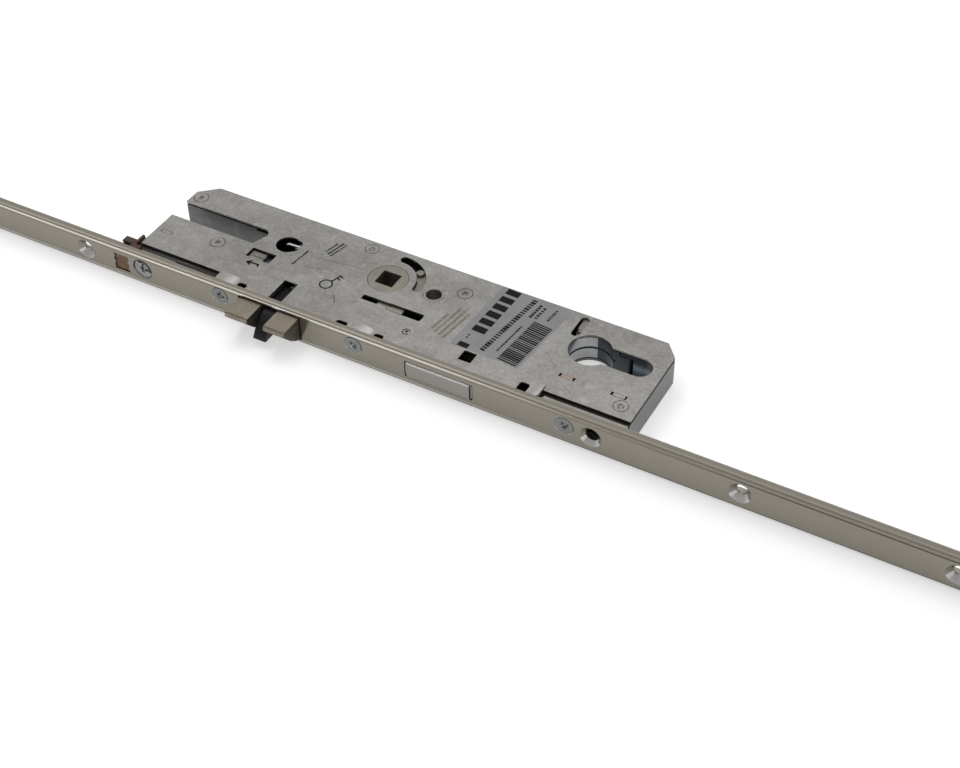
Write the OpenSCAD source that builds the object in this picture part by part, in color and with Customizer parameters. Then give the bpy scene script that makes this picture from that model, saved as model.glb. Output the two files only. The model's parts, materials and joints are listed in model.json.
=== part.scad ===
// Multipoint mortice door lock with a flat faceplate, lying on its side as photographed.
// X runs down the faceplate, Y from the faceplate into the door, Z through the thickness.
// The spindle axis is at X 0, Y 0, and Z 0 is the middle plane of the faceplate.

/* [Faceplate] */
// Length of the faceplate past the upper hook axis
end_up = 115; // [111:1:119]
// Length of the faceplate past the lower hook axis
end_down = 137; // [134:1:140]
// Width of the faceplate
face_w = 16; // [15.8:0.1:16.4]
// Thickness of the faceplate
face_t = 3; // [2.9:0.05:3.1]
// Radius of the two front edges
face_edge = 1.8; // [1.2:0.1:2.2]
// Distance from the front of the faceplate to the spindle axis
backset = 37; // [36.8:0.1:37.2]

/* [Lock case] */
// Depth of the case behind the spindle axis
case_back = 18; // [17.9:0.1:18.4]
// Outside thickness of the case
case_h = 13.4; // [13.4:0.1:13.8]
// Thickness of the steel sheet
sheet = 1.2; // [1:0.05:1.3]
// Length of the case above the spindle
case_up = 103.8; // [103.6:0.1:104.2]
// Distance from the end of the cylinder hole to the lower end of the case
case_end = 4.7; // [4.5:0.1:5]

/* [Follower and latch] */
// Width of the square for the spindle
square = 8; // [7.6:0.1:8.4]
// Radius of the follower where it turns in the case
hub_r = 8.5; // [8.3:0.1:8.6]
// Distance from the spindle to the handle fixing hole
fixing_x = 21.6; // [21.4:0.1:21.9]
// How far the latch stands out of the faceplate
latch_out = 11; // [10:0.1:11.3]
// Thickness of the latch head
latch_h = 10.8; // [10.4:0.1:11]

/* [Deadbolt] */
// Length of the bolt along the faceplate
bolt_l = 29.8; // [29.6:0.1:29.9]
// Thickness of the bolt
bolt_h = 7.5; // [7.3:0.1:7.6]
// Height of the bolt face above the faceplate when drawn back
bolt_proud = 0.6; // [0.3:0.1:1]

/* [Cylinder and gears] */
// Distance from the spindle to the cylinder
cyl_x = 92; // [91.9:0.05:92.1]
// Radius of the round part of the cylinder hole
cyl_r = 8.8; // [8.6:0.1:8.9]
// Radius of the end of the cylinder hole
cyl_slot_r = 5.2; // [5:0.1:5.3]
// Distance between the centres of the two radii
cyl_slot_x = 21; // [20.6:0.1:21.2]
// Tooth size of both racks and gears
tooth = 1.5; // [1.5]
// Number of teeth round the cylinder gear
gear_teeth = 20; // [20]
// Play between the teeth
tooth_play = 0.14; // [0.12:0.01:0.16]

/* [Drive rods] */
// Width of a rod
rod_w = 11.6; // [11.5:0.1:11.8]
// Thickness of a rod
rod_t = 2.5; // [2.4:0.05:2.55]
// Full stroke of the rods
stroke = 20; // [20]

/* [Hook boxes] */
// Distance from the spindle up to the upper hook axis
hook_up = 505; // [503:1:507]
// Distance from the spindle down to the lower hook axis
hook_down = 590; // [588:1:592]
// Reach of a hook from its axis
hook_reach = 40; // [38:1:41]
// Thickness of a hook
hook_h = 4.4; // [4.2:0.1:4.5]

/* [View] */
// Piece to show

/* [Hidden] */
$fn = 64;
// Gap left between two faces that rest on each other
seat = 0.1;
// Radial play of a turning or sliding fit
run = 0.08;
face_y = -backset;
face_up = hook_up + end_up;
face_down = hook_down + end_down;
face_back = face_y + face_t;
zt = case_h / 2;
zi = zt - sheet;
// Length of the case below the spindle
case_down = cyl_x + cyl_slot_x + cyl_slot_r + case_end;
front_y = -29.6;
lip_y = face_back + 0.2;
step_l = -63;
step_r = 86.2;
arm_y = 3.5;
cheek_y = -6.9;
notch_x = -59.6;
rod_y0 = face_back + seat;
rod_y1 = rod_y0 + rod_t;
gear_r = tooth * gear_teeth / 2;
// Height of the rack pitch line in the main case
rack_y = -gear_r;
hook_teeth = 17;
hook_gear_r = tooth * hook_teeth / 2;
hook_rack_y = -27.5;
hook_y = hook_rack_y + hook_gear_r;
bolt_x0 = 29.8;
bolt_x1 = bolt_x0 + bolt_l;
pin_x = 35;
pin_y = -19.5;
latch_x = [[-48.2, -37.4], [-29.7, -19.5]];
arm_r = 16;
arm_rest = 201.5;
// Places that go with the upper end of the case: clip, coupling screw, tab and tongue
clip_x = -case_up - 4.95;
join_x = -case_up + 6;
tab_x = -case_up + 5;
tongue_x = -case_up + 10.3;
hole_x = [-hook_up - 99, -hook_up + 110, -hook_up + 195, clip_x - 116.25, clip_x - 18.95,
    case_down + 47.7, case_down + 128.6,
    hook_down - 245, hook_down - 150, hook_down + 120];
// Screws of a hook box, counted from the hook axis
lug_at = [-52, 34];
box_l = [-58, 40];
// Case screws as distance along the faceplate and height
case_screw_at = [[-58.3, 2], [6, 2], [cyl_x + 7.4, 0.9]];
cover_screw_at = [[-15.8, case_back - 4.6], [case_down - 7, front_y + 7]];
rivet_at = [[fixing_x + 10.8, 6.6], [-case_up + 4.2, 8.6], [notch_x - 15.8, -13.4]];

// Box from its lowest to its highest corner
module slab(a, b) {
    translate(a) cube(b - a);
}

// Round bar along Z
module bar_z(x, y, r, z0, z1) {
    translate([x, y, z0]) cylinder(r = r, h = z1 - z0);
}

// Round bar along Y
module bar_y(x, z, r, y0, y1) {
    translate([x, y0, z]) rotate([-90, 0, 0]) cylinder(r = r, h = y1 - y0);
}

// Round bar along X
module bar_x(y, z, r, x0, x1) {
    translate([x0, y, z]) rotate([0, 90, 0]) cylinder(r = r, h = x1 - x0);
}

// Slot along X with round ends, through a part along Y
module slot_y(x0, x1, z, r, y0, y1) {
    bar_y(x0 + r, z, r, y0, y1);
    bar_y(x1 - r, z, r, y0, y1);
    slab([x0 + r, y0, z - r], [x1 - r, y1, z + r]);
}

// Countersunk hole or head along Y that starts at the faceplate front
module sunk(x, z, r_head, r_shank, y_end) {
    depth = r_head - r_shank;
    translate([x, face_y, z]) rotate([-90, 0, 0]) cylinder(r1 = r_head, r2 = r_shank, h = depth);
    bar_y(x, z, r_shank, face_y + depth - 0.01, y_end);
}

// Two crossed slots of a cross recess in a head that faces -Y
module cross_y(x, z, y) {
    for (turn = [0, 90])
        translate([x, y, z]) rotate([0, turn, 0])
            translate([-1.9, -0.1, -0.45]) cube([3.8, 1.5, 0.9]);
}

function polar(r, a) = [r * cos(a), r * sin(a)];
// Angle of the involute at radius r, in degrees, for base radius b
function inv(r, b) = sqrt(max(0, r * r / (b * b) - 1)) * 180 / PI - acos(min(1, b / r));

// Involute gear with a gap between two teeth at -90 degrees
module gear_2d(n) {
    rp = tooth * n / 2;
    rb = rp * cos(20);
    ro = rp + tooth * 0.95;
    rr = rp - tooth * 1.25;
    half = 90 / n - tooth_play / rp * 90 / PI;
    steps = 4;
    radii = [for (i = [0:steps]) max(rb, rr) + (ro - max(rb, rr)) * i / steps];
    pts = [for (k = [0:n - 1]) let (c = -90 + (k + 0.5) * 360 / n)
        each concat(
            [polar(rr, c - half - inv(rp, rb))],
            [for (r = radii) polar(r, c - half - inv(rp, rb) + inv(r, rb))],
            [for (i = [steps:-1:0]) polar(radii[i], c + half + inv(rp, rb) - inv(radii[i], rb))],
            [polar(rr, c + half + inv(rp, rb))])];
    polygon(pts);
}

// Straight rack with a tooth at X 0 that points to +Y, teeth from a to b
module rack_2d(a, b, y_back) {
    p = PI * tooth;
    up = tooth * 0.95;
    down = tooth * 1.25;
    w = p / 4 - tooth_play / 2;
    pts = concat(
        [[a * p - p / 2, y_back], [a * p - p / 2, -down]],
        [for (k = [a:b]) each [[k * p - w - down * tan(20), -down], [k * p - w + up * tan(20), up],
            [k * p + w - up * tan(20), up], [k * p + w + down * tan(20), -down]]],
        [[b * p + p / 2, -down], [b * p + p / 2, y_back]]);
    polygon([for (i = [len(pts) - 1:-1:0]) pts[i]]);
}

// Outline of the main case
module case_2d(d) {
    polygon([[-case_up + d, front_y + d], [step_l + d, front_y + d], [step_l + d, lip_y + d],
        [step_r - d, lip_y + d], [step_r - d, front_y + d], [case_down - d, front_y + d],
        [case_down - d, case_back - 6.7 + d * 0.35], [case_down - 5.7 - d * 0.5, case_back - d],
        [-case_up + 7.8 + d * 0.5, case_back - d], [-case_up + d, case_back - 6.8 - d * 0.35],
        [-case_up + d, arm_y + d], [notch_x - 2.4 + d * 0.4, arm_y + d],
        [notch_x - 0.7 + d * 0.9, arm_y - 1 + d * 0.4], [notch_x + d, arm_y - 3.2],
        [notch_x - 2.6 + d * 0.7, cheek_y - d], [-case_up + d, cheek_y - d]]);
}

// Hole for the profile cylinder
module cylinder_hole(z0, z1) {
    bar_z(cyl_x, 0, cyl_r, z0, z1);
    bar_z(cyl_x + cyl_slot_x, 0, cyl_slot_r, z0, z1);
    slab([cyl_x, -cyl_slot_r, z0], [cyl_x + cyl_slot_x, cyl_slot_r, z1]);
}

// Holes that go through the tray and the cover alike
module shared_holes(z0, z1) {
    bar_z(0, 0, hub_r + run, z0, z1);
    bar_z(fixing_x, 0, 4.2 + 0.05, z0, z1);
    cylinder_hole(z0, z1);
    for (p = rivet_at) bar_z(p[0], p[1], 1.6, z0, z1);
}

module faceplate() {
    r = face_edge;
    w = face_w / 2;
    color([0.62, 0.60, 0.55]) difference() {
        intersection() {
            slab([-face_up, face_y, -w], [face_down, face_back, w]);
            union() {
                slab([-face_up, face_y + r, -w], [face_down, face_back, w]);
                slab([-face_up, face_y, -w + r], [face_down, face_back, w - r]);
                for (s = [-1, 1]) bar_x(face_y + r, s * (w - r), r, -face_up, face_down);
            }
        }
        slab([-48.9, face_y - 1, -6], [-18.9, face_back + 1, 6.1]);
        slot_z(bolt_x0 - 0.35, bolt_x1 + 0.35, bolt_h / 2 + 0.3, 0.9);
        for (x = hole_x) sunk(x, 0, 4.6, 2.4, face_back + 1);
        for (p = case_screw_at) sunk(p[0], p[1], 4.1, 2.2, face_back + 1);
        sunk(cyl_x + 18.4, 0, 4.6, 2.8, face_back + 1);
        bar_y(join_x, 0.5, 4.8, face_y - 1, face_back + 1);
        clip_window(face_y - 1, face_back + 1, 0);
        for (x = [-hook_up, hook_down]) {
            slot_y(x - hook_reach - 2.5, x + 11, 0, hook_h / 2 + 0.5, face_y - 1, face_back + 1);
            for (e = lug_at) sunk(x + e, 0, 4.1, 2.2, face_back + 1);
        }
    }
}

// Window in the faceplate with rounded corners
module slot_z(x0, x1, half, r) {
    for (x = [x0 + r, x1 - r], z = [-half + r, half - r]) bar_y(x, z, r, face_y - 1, face_back + 1);
    slab([x0 + r, face_y - 1, -half], [x1 - r, face_back + 1, half]);
    slab([x0, face_y - 1, -half + r], [x1, face_back + 1, half - r]);
}

// Window of the transport clip, wavy on both sides, made smaller all round by gap
module clip_window(y0, y1, gap) {
    difference() {
        slab([clip_x - 3.75 + gap, y0, -4.1 + gap], [clip_x + 3.75 - gap, y1, 4.1 - gap]);
        for (x = [clip_x - 4.35, clip_x + 4.35], z = [-1.2, 1.8])
            bar_y(x, z + (x < clip_x ? 0.9 : -0.9), 1.2 + gap, y0 - 1, y1 + 1);
    }
}

module case_tray() {
    color([0.60, 0.61, 0.62]) difference() {
        union() {
            translate([0, 0, -zt]) linear_extrude(sheet) case_2d(0);
            difference() {
                translate([0, 0, -zt]) linear_extrude(zt + zi) case_2d(0);
                translate([0, 0, -zi]) linear_extrude(zt + zi) case_2d(sheet);
            }
            // Threaded posts for the cover screws
            for (p = cover_screw_at) bar_z(p[0], p[1], 2.6, -zi - 0.1, zi);
            // Bosses for the screws through the faceplate
            for (i = [0, 1]) {
                bar_y(case_screw_at[i][0], case_screw_at[i][1], 4.2, lip_y + 0.5, -30);
                bar_y(case_screw_at[i][0], case_screw_at[i][1], 3.2, -30.1, -24);
            }
            bar_y(cyl_x + 7.4, 0.9, 3, face_back + seat, -26);
            bar_y(join_x, 0.5, 3, face_back - 0.1, front_y + 1);
            // Spring posts on the rear wall and behind the trigger
            bar_y(-45.5, 0, 1.9, 12, case_back - 0.5);
            slab([-36.2, 2.8, -zi - 0.1], [-30.6, 4.6, 4.4]);
            // Tab that comes through the cover
            slab([tab_x - 2.4, -18.5, -zi - 0.1], [tab_x + 2.4, -16.7, zt]);
        }
        shared_holes(-zt - 1, zt + 1);
        for (p = cover_screw_at) bar_z(p[0], p[1], 1.3, -2, zt + 1);
        for (p = case_screw_at) bar_y(p[0], p[1], 2.05, face_back - 1, -23);
        bar_y(join_x, 0.5, 2.05, face_back - 1, -27);
        bar_y(cyl_x + 18.4, 0, 2.9, face_back - 1, front_y + 3);
        // Window at the top of the wall, round the inner corner of the notch
        slab([-67.5, 3, 4.2], [-60.6, 5, zi + 1]);
        slab([-62, 1.4, 4.2], [-58.2, 5, zi + 1]);
        // Windows for the latch and the bolt
        slab([-49.3, lip_y - 1, -6], [-18.4, lip_y + sheet + 1, zt + 1]);
        slab([bolt_x0 - 0.5, lip_y - 1, -bolt_h / 2 - 0.4],
            [bolt_x1 + 0.5, lip_y + sheet + 1, bolt_h / 2 + 0.4]);
        // Slots for the tongues of the slide
        slab([tongue_x - 0.7, front_y - 1, -zi], [tongue_x + stroke + 7.2, front_y + sheet + 1, -zi + 2]);
        slab([cyl_x - 4.8, front_y - 1, -zi], [cyl_x + stroke + 1.2, front_y + sheet + 1, -zi + 2]);
    }
}

// Ridge of the cover over a screw boss, as a shallow round back
module ridge(x, r, up, y0, y1) {
    bar_y(x, zt + up - r, r, y0, y1);
}

// Pocket in the front edge of the cover with round corners at its end
module pocket(x0, x1, y1) {
    slab([x0, lip_y - 1, zi - 1], [x1, y1 - 1.2, zt + 2]);
    slab([x0 + 1.2, lip_y - 1, zi - 1], [x1 - 1.2, y1, zt + 2]);
    for (x = [x0 + 1.2, x1 - 1.2]) bar_z(x, y1 - 1.2, 1.2, zi - 1, zt + 2);
}

module case_cover() {
    color([0.64, 0.65, 0.65]) difference() {
        union() {
            translate([0, 0, zi]) linear_extrude(sheet) case_2d(0);
            intersection() {
                union() {
                    ridge(-58.3, 16, 0.9, lip_y, -28.5);
                    ridge(6.4, 16, 0.9, lip_y, -29.5);
                    ridge(86.2, 16, 0.9, lip_y, -26.5);
                }
                slab([step_l, lip_y, zi], [step_r, 0, zt + 2]);
            }
        }
        shared_holes(zi - 1, zt + 1);
        // Room for the screw bosses under the ridges
        for (i = [0, 1]) ridge(case_screw_at[i][0], 15, -0.1, lip_y - 1, -29.7);
        // Black pockets beside the ridges
        pocket(-52.4, -48.3, -30.4);
        pocket(-4.6, 0.4, -30.9);
        pocket(13, 17.1, -30.9);
        pocket(76.5, 80.7, -28.3);
        // Slot over the trigger
        slab([-36.7, lip_y - 1, zi - 1], [-30.5, -20.6, zt + 1]);
        // Arc slot of the follower pin
        difference() {
            bar_z(0, 0, 15.5, zi - 1, zt + 1);
            bar_z(0, 0, 11.7, zi - 2, zt + 2);
            slab([-20, -20, zi - 2], [0, 20, zt + 2]);
            translate([0, 0, zi - 2]) rotate(-90) slab([-0.1, -20, 0], [20, 20, 6]);
        }
        bar_z(polar(13.6, 0)[0], 0, 1.9, zi - 1, zt + 1);
        bar_z(0, 13.6, 1.9, zi - 1, zt + 1);
        // Stepped slot over the slide tab
        slab([-3.4, -15.8, zi - 1], [12, -12.9, zt + 1]);
        slab([9, -16.9, zi - 1], [23.8, -12.6, zt + 1]);
        slab([23, -16, zi - 1], [24.7, -13.5, zt + 1]);
        for (y = [-16, -13.5]) bar_z(23.8, y, 0.9, zi - 1, zt + 1);
        // Window of the snib and the hole over the spring
        slab([-60.3, -15, zi - 1], [-48.6, -9, zt + 1]);
        bar_z(-48.5, -0.7, 5.1, zi - 1, zt + 1);
        bar_z(-45.4, 1.3, 2.4, zi - 1, zt + 1);
        bar_z(-45.4, -1.6, 2.4, zi - 1, zt + 1);
        slab([-45.4, -1.6, zi - 1], [-43, 1.3, zt + 1]);
        // Square window over the bolt and the slot over the gear stop
        slab([48.9, -28.7, zi - 1], [54.4, -23, zt + 1]);
        for (y = [6.3, 14.7]) bar_z(cyl_x - 9.6, y, 1.8, zi - 1, zt + 1);
        slab([cyl_x - 11.4, 6.3, zi - 1], [cyl_x - 7.8, 14.7, zt + 1]);
        // Slots for tabs and holes for the cover screws
        slab([tab_x - 2.6, -18.6, zi - 1], [tab_x + 2.6, -16.6, zt + 1]);
        slab([cyl_x - 4.5, -18.9, zi - 1], [cyl_x + 2.3, -17, zt + 1]);
        slab([cyl_x + 17.5, -18.9, zi - 1], [cyl_x + 24.1, -17, zt + 1]);
        for (p = cover_screw_at) {
            bar_z(p[0], p[1], 1.75, zi - 1, zt + 1);
            bar_z(p[0], p[1], 3.1, zt - 0.5, zt + 1);
        }
        for (p = rivet_at) bar_z(p[0], p[1], 3.3, zt - 0.5, zt + 1);
    }
}

module cover_screws() {
    color([0.66, 0.69, 0.70]) for (p = cover_screw_at) difference() {
        union() {
            bar_z(p[0], p[1], 3, zt - 0.45, zt + 0.1);
            bar_z(p[0], p[1], 1.22, 0, zt - 0.3);
        }
        for (a = [20, 110]) translate([p[0], p[1], zt + 0.3]) rotate(a)
            translate([-1.7, -0.35, -0.55]) cube([3.4, 0.7, 1]);
    }
}

module cover_rivets() {
    color([0.60, 0.62, 0.63]) for (p = rivet_at) {
        bar_z(p[0], p[1], 1.55, -zt - 0.1, zt - 0.3);
        bar_z(p[0], p[1], 2.4, -zi + seat, zi - seat);
        difference() {
            bar_z(p[0], p[1], 3.2, zt - 0.45, zt + 0.05);
            bar_z(p[0], p[1], 1.1, zt - 0.15, zt + 1);
        }
        bar_z(p[0], p[1], 2.9, -zt - 0.4, -zt - 0.05);
    }
}

// Side shape of one latch head, flat on top and sloping underneath
module latch_head_2d() {
    h = latch_h / 2;
    t = face_y - latch_out;
    polygon([[t, h - 1.9], [t + 0.5, h - 0.5], [t + 1.2, h], [-35.6, h], [-35.6, -h],
        [face_y - 0.4, -h], [face_y - 3.4, -h + 1.3], [face_y - 6.6, -h + 3.9],
        [face_y - 9.2, -h + 6.9]]);
}

module latch_bolt() {
    color([0.66, 0.64, 0.57]) difference() {
        union() {
            for (x = latch_x) {
                intersection() {
                    translate([x[0], 0, 0]) rotate([90, 0, 90]) linear_extrude(x[1] - x[0]) latch_head_2d();
                    union() {
                        slab([x[0] + 0.8, -60, -9], [x[1] - 0.8, -30, 9]);
                        slab([x[0], face_y - latch_out + 0.8, -9], [x[1], -30, 9]);
                        for (s = [x[0] + 0.8, x[1] - 0.8]) bar_z(s, face_y - latch_out + 0.8, 0.8, -9, 9);
                    }
                }
                slab([x[0] + 0.3, -35.7, -3.8], [x[1] - 0.3, -15.9, 4.9]);
            }
            slab([-47.9, -16, -3.8], [-19.8, -10, -0.8]);
            // Tail with the hook that the follower arm lifts
            slab([-27, -12, -2.2], [-21.6, -1.4, 2.2]);
            slab([-27, -3.56, -2.2], [-13, -1.36, 2.2]);
            bar_y(-45.5, 0, 1.9, -10.1, -5);
            slab([-47.9, -16, -3.8], [-40, -10, 3]);
        }
        // Clearance in the right head for the reflector spring
        slab([-48, -31, 3.6], [-19, -23, 6]);
    }
}

// Compression spring along Y, as a wire that winds round its axis
module coil(x, z, y0, y1, r, wire, turns) {
    n = 6;
    steps = turns * 8;
    mid = [for (i = [0:steps]) let (a = i * 45)
        [x + r * cos(a), y0 + wire + (y1 - y0 - 2 * wire) * i / steps, z + r * sin(a)]];
    gap = min([for (i = [0:steps - 8]) norm(mid[i + 8] - mid[i])]) - 2 * wire;
    echo(str("least gap between the turns: ", gap, " mm"));
    ring = [for (i = [0:steps]) let (a = i * 45)
        for (j = [0:n - 1]) let (b = j * 360 / n, q = wire * cos(b))
            mid[i] + [q * cos(a), wire * sin(b), q * sin(a)]];
    sides = [for (i = [0:steps - 1], j = [0:n - 1])
        each [[i * n + j, (i + 1) * n + j, (i + 1) * n + (j + 1) % n],
            [i * n + j, (i + 1) * n + (j + 1) % n, i * n + (j + 1) % n]]];
    caps = concat([[for (j = [0:n - 1]) j]], [[for (j = [n - 1:-1:0]) steps * n + j]]);
    polyhedron(points = ring, faces = concat(sides, caps));
}

module latch_spring() {
    color([0.72, 0.73, 0.74]) coil(-45.5, 0, -9.9, case_back - sheet - 0.1, 2.7, 0.4, 9);
}

module trigger_spring() {
    color([0.72, 0.73, 0.74]) coil(-33.5, 1.7, -20.9, 2.7, 1.6, 0.3, 12);
}

module trigger() {
    color([0.10, 0.11, 0.14]) translate([-36.5, 0, 0]) rotate([90, 0, 90]) linear_extrude(5.9)
        polygon([[-46.2, -4.8], [-45.3, -5.3], [-35.2, -5.2], [-35.2, -0.2], [-21, -0.2], [-21, 3.6],
            [-35.5, 4.4], [-38.6, 3], [-43.6, -0.7]]);
}

module follower() {
    color([0.63, 0.60, 0.53]) difference() {
        union() {
            bar_z(0, 0, hub_r, -zt + 0.1, zt - 0.1);
            bar_z(0, 0, hub_r + 0.7, -zi + 0.2, zi - 0.2);
            // Arm that draws the latch back
            rotate(arm_rest) translate([0, 0, -2]) linear_extrude(4)
                polygon([[0, 4.5], [8, 4.2], [13.5, 1.6], [arm_r, 1.6], [arm_r, -1.2], [8, -1.1], [0, -1]]);
            bar_z(arm_r * cos(arm_rest), arm_r * sin(arm_rest), 2, -2, 2);
            // Sector that carries the pin in the arc slot
            rotate(45) translate([0, 0, zi - 2.6]) linear_extrude(2.2)
                polygon([[0, -6], [11, -3], [15.6, -2], [15.6, 2], [11, 3], [0, 6]]);
        }
        slab([-square / 2 - 0.05, -square / 2 - 0.05, -zt - 1], [square / 2 + 0.05, square / 2 + 0.05, zt + 1]);
        bar_z(polar(13.6, 45)[0], polar(13.6, 45)[1], 1.55, -1, zt + 1);
    }
}

module follower_pin() {
    c = polar(13.6, 45);
    color([0.80, 0.80, 0.79]) union() {
        bar_z(c[0], c[1], 1.5, zi - 2.6, zi - 0.1);
        bar_z(c[0], c[1], 1.7, zi - 0.15, zt - 0.1);
    }
}

module fixing_bush() {
    color([0.45, 0.46, 0.47]) difference() {
        union() {
            bar_z(fixing_x, 0, 4.2, -zt - 0.1, zt + 0.1);
            bar_z(fixing_x, 0, 5.2, -zi + seat, zi - seat);
        }
        bar_z(fixing_x, 0, 3.3, -zt - 1, zt + 1);
    }
}

module deadbolt() {
    y0 = face_y - bolt_proud;
    h = bolt_h / 2;
    color([0.70, 0.70, 0.69]) difference() {
        union() {
            intersection() {
                slab([bolt_x0, y0, -h], [bolt_x1, -17.6, h]);
                union() {
                    slab([bolt_x0 - 1, y0 + 0.8, -h - 1], [bolt_x1 + 1, 0, h + 1]);
                    slab([bolt_x0 + 0.8, y0, -h + 0.8], [bolt_x1 - 0.8, 0, h - 0.8]);
                    for (s = [-1, 1]) bar_x(y0 + 0.8, s * (h - 0.8), 0.8, bolt_x0 + 0.8, bolt_x1 - 0.8);
                }
                union() {
                    slab([bolt_x0 + 1.3, -50, -9], [bolt_x1 - 1.3, 0, 9]);
                    slab([bolt_x0, -50, -h + 1.3], [bolt_x1, 0, h - 1.3]);
                    for (x = [bolt_x0 + 1.3, bolt_x1 - 1.3], s = [-1, 1]) bar_y(x, s * (h - 1.3), 1.3, -50, 0);
                }
            }
            slab([bolt_x0, -17.7, -h], [bolt_x1, -12.5, 2.9]);
            slab([35.6, -12.6, -h], [bolt_x1, 4, 2.9]);
        }
        // Slanting slot for the pin of the slide
        translate([pin_x, pin_y, -h - 1]) rotate(45) {
            slab([0, -2.5, 0], [stroke * sqrt(2), 2.5, 4.6]);
            cylinder(r = 2.5, h = 4.6);
            translate([stroke * sqrt(2), 0, 0]) cylinder(r = 2.5, h = 4.6);
        }
        // Pocket under the square window
        slab([47.4, -29.6, -1], [55.9, -22, 9]);
    }
}

module drive_slide() {
    z0 = -zi + 0.2;
    z1 = z0 + 1.2;
    color([0.62, 0.63, 0.62]) difference() {
        union() {
            slab([tongue_x, -22, z0], [cyl_x - 30, -17, z1]);
            // Tongue for the upper rod
            slab([tongue_x, rod_y0 + 0.1, z0], [tongue_x + 6.5, -21, z1]);
            // Tab that shows in the stepped slot
            slab([3.2, -16.6, z0], [9.2, -13, zi - 0.2]);
            slab([3.2, -17.1, z0], [9.2, -13, z1]);
            slab([3.2, -15.9, zi - 1.6], [15.2, -12.2, zi - 0.2]);
            // Rack
            translate([cyl_x, rack_y, z0]) linear_extrude(2.3) rack_2d(-6, 1, -4.6);
            // Tongue for the lower rod
            slab([cyl_x - 4, rod_y0 + 0.1, z0], [cyl_x + 0.5, -19, z1]);
        }
        bar_z(pin_x, pin_y, 1.55, z0 - 1, z1 + 1);
    }
}

module slide_pin() {
    color([0.74, 0.75, 0.75]) union() {
        bar_z(pin_x, pin_y, 1.5, -zi + 0.2, -zi + 1.4);
        bar_z(pin_x, pin_y, 2.4, -zi + 1.4, -0.6);
    }
}

module rod_bar(x0, x1) {
    slab([x0, rod_y0, -rod_w / 2], [x1, rod_y1, rod_w / 2]);
}

// Long slots of a rod: one for each mounting hole between a and b
module rod_slots(a, b) {
    for (x = hole_x) if (x > a && x < b)
        slot_y(x - stroke - 2.8, x + 2.8, 0, 2.6, rod_y0 - 1, rod_y1 + 1);
}

// Slot of a rod for the hook and the two lugs of its box
module hook_slot(x) {
    slot_y(x + lug_at[0] - stroke - 3.6, x + lug_at[1] + 3.6, 0, 3.4, rod_y0 - 1, rod_y1 + 1);
}

module upper_rod() {
    color([0.58, 0.58, 0.56]) difference() {
        rod_bar(-face_up + 22, tongue_x + 9.5);
        rod_slots(-face_up + 30, clip_x - 11.25);
        hook_slot(-hook_up);
        // Long slot past the transport clip and the screw beside it
        slot_y(clip_x - 25.25, tongue_x - 0.8, 0.4, 3.5, rod_y0 - 1, rod_y1 + 1);
        // Notch for the tongue of the slide
        slab([tongue_x - 0.2, rod_y0 - 1, -zi + 0.1], [tongue_x + 6.7, rod_y1 + 1, -zi + 1.5]);
    }
}

module lower_rod() {
    color([0.58, 0.58, 0.56]) difference() {
        rod_bar(cyl_x - 5.2, face_down - 22);
        rod_slots(case_down + 27, face_down - 30);
        hook_slot(hook_down);
        // Open slot past the lower case screw and the cylinder screw
        slot_y(cyl_x - 22, cyl_x + 22, 0.7, 3.6, rod_y0 - 1, rod_y1 + 1);
        slab([cyl_x - 4.2, rod_y0 - 1, -zi + 0.1], [cyl_x + 0.7, rod_y1 + 1, -zi + 1.5]);
    }
}

module coupling_screw() {
    color([0.66, 0.70, 0.72]) difference() {
        union() {
            bar_y(join_x, 0.5, 4.2, face_y + 0.4, face_back - 0.2);
            bar_y(join_x, 0.5, 2, face_back - 0.3, -27.6);
        }
        cross_y(join_x, 0.5, face_y + 0.4);
    }
}

module cylinder_gear() {
    color([0.72, 0.73, 0.74]) difference() {
        union() {
            translate([cyl_x, 0, -zi + 0.2]) linear_extrude(2 * zi - 2.1) gear_2d(gear_teeth);
            bar_z(cyl_x, 0, 11.4, -zi + 0.2, zi - 0.2);
        }
        bar_z(cyl_x, 0, cyl_r + 0.2, -zt, zt);
        slab([cyl_x, -cyl_slot_r - 0.1, -zt], [cyl_x + 20, cyl_slot_r + 0.1, zt]);
        bar_z(cyl_x, 0, cyl_r + 1.2, -0.5, 0.5);
    }
}

// Bracket on the cover with two tabs in it and two legs that keep the rack down
module rack_guide() {
    color([0.66, 0.55, 0.45]) union() {
        slab([cyl_x - 5.4, -19.8, zi - 1.6], [cyl_x + 26, -17, zi - 0.1]);
        for (x = [-4, 7]) slab([cyl_x + x, -19.6, -2.7], [cyl_x + x + 6.5, -17.4, zi - 1.5]);
        for (x = [-4.3, 17.7]) slab([cyl_x + x, -18.8, zi - 0.2], [cyl_x + x + 6.4, -17.1, zt]);
    }
}

module cylinder_guide() {
    color([0.36, 0.40, 0.45]) difference() {
        slab([cyl_x + 9, -8.2, -zi + seat], [case_down - 2.3, 8.2, zi - seat]);
        // Room for the teeth below and for the core of the gear
        bar_z(cyl_x, 0, 16.9, -zt, 3.9);
        bar_z(cyl_x, 0, 11.8, -zt, zt);
        bar_z(cyl_x + cyl_slot_x, 0, cyl_slot_r + 0.1, -zt, zt);
        slab([cyl_x + 8, -cyl_slot_r - 0.1, -zt], [cyl_x + cyl_slot_x, cyl_slot_r + 0.1, zt]);
        bar_y(cyl_x + 18.4, 0, 2.8, -9, 0);
    }
}

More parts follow.
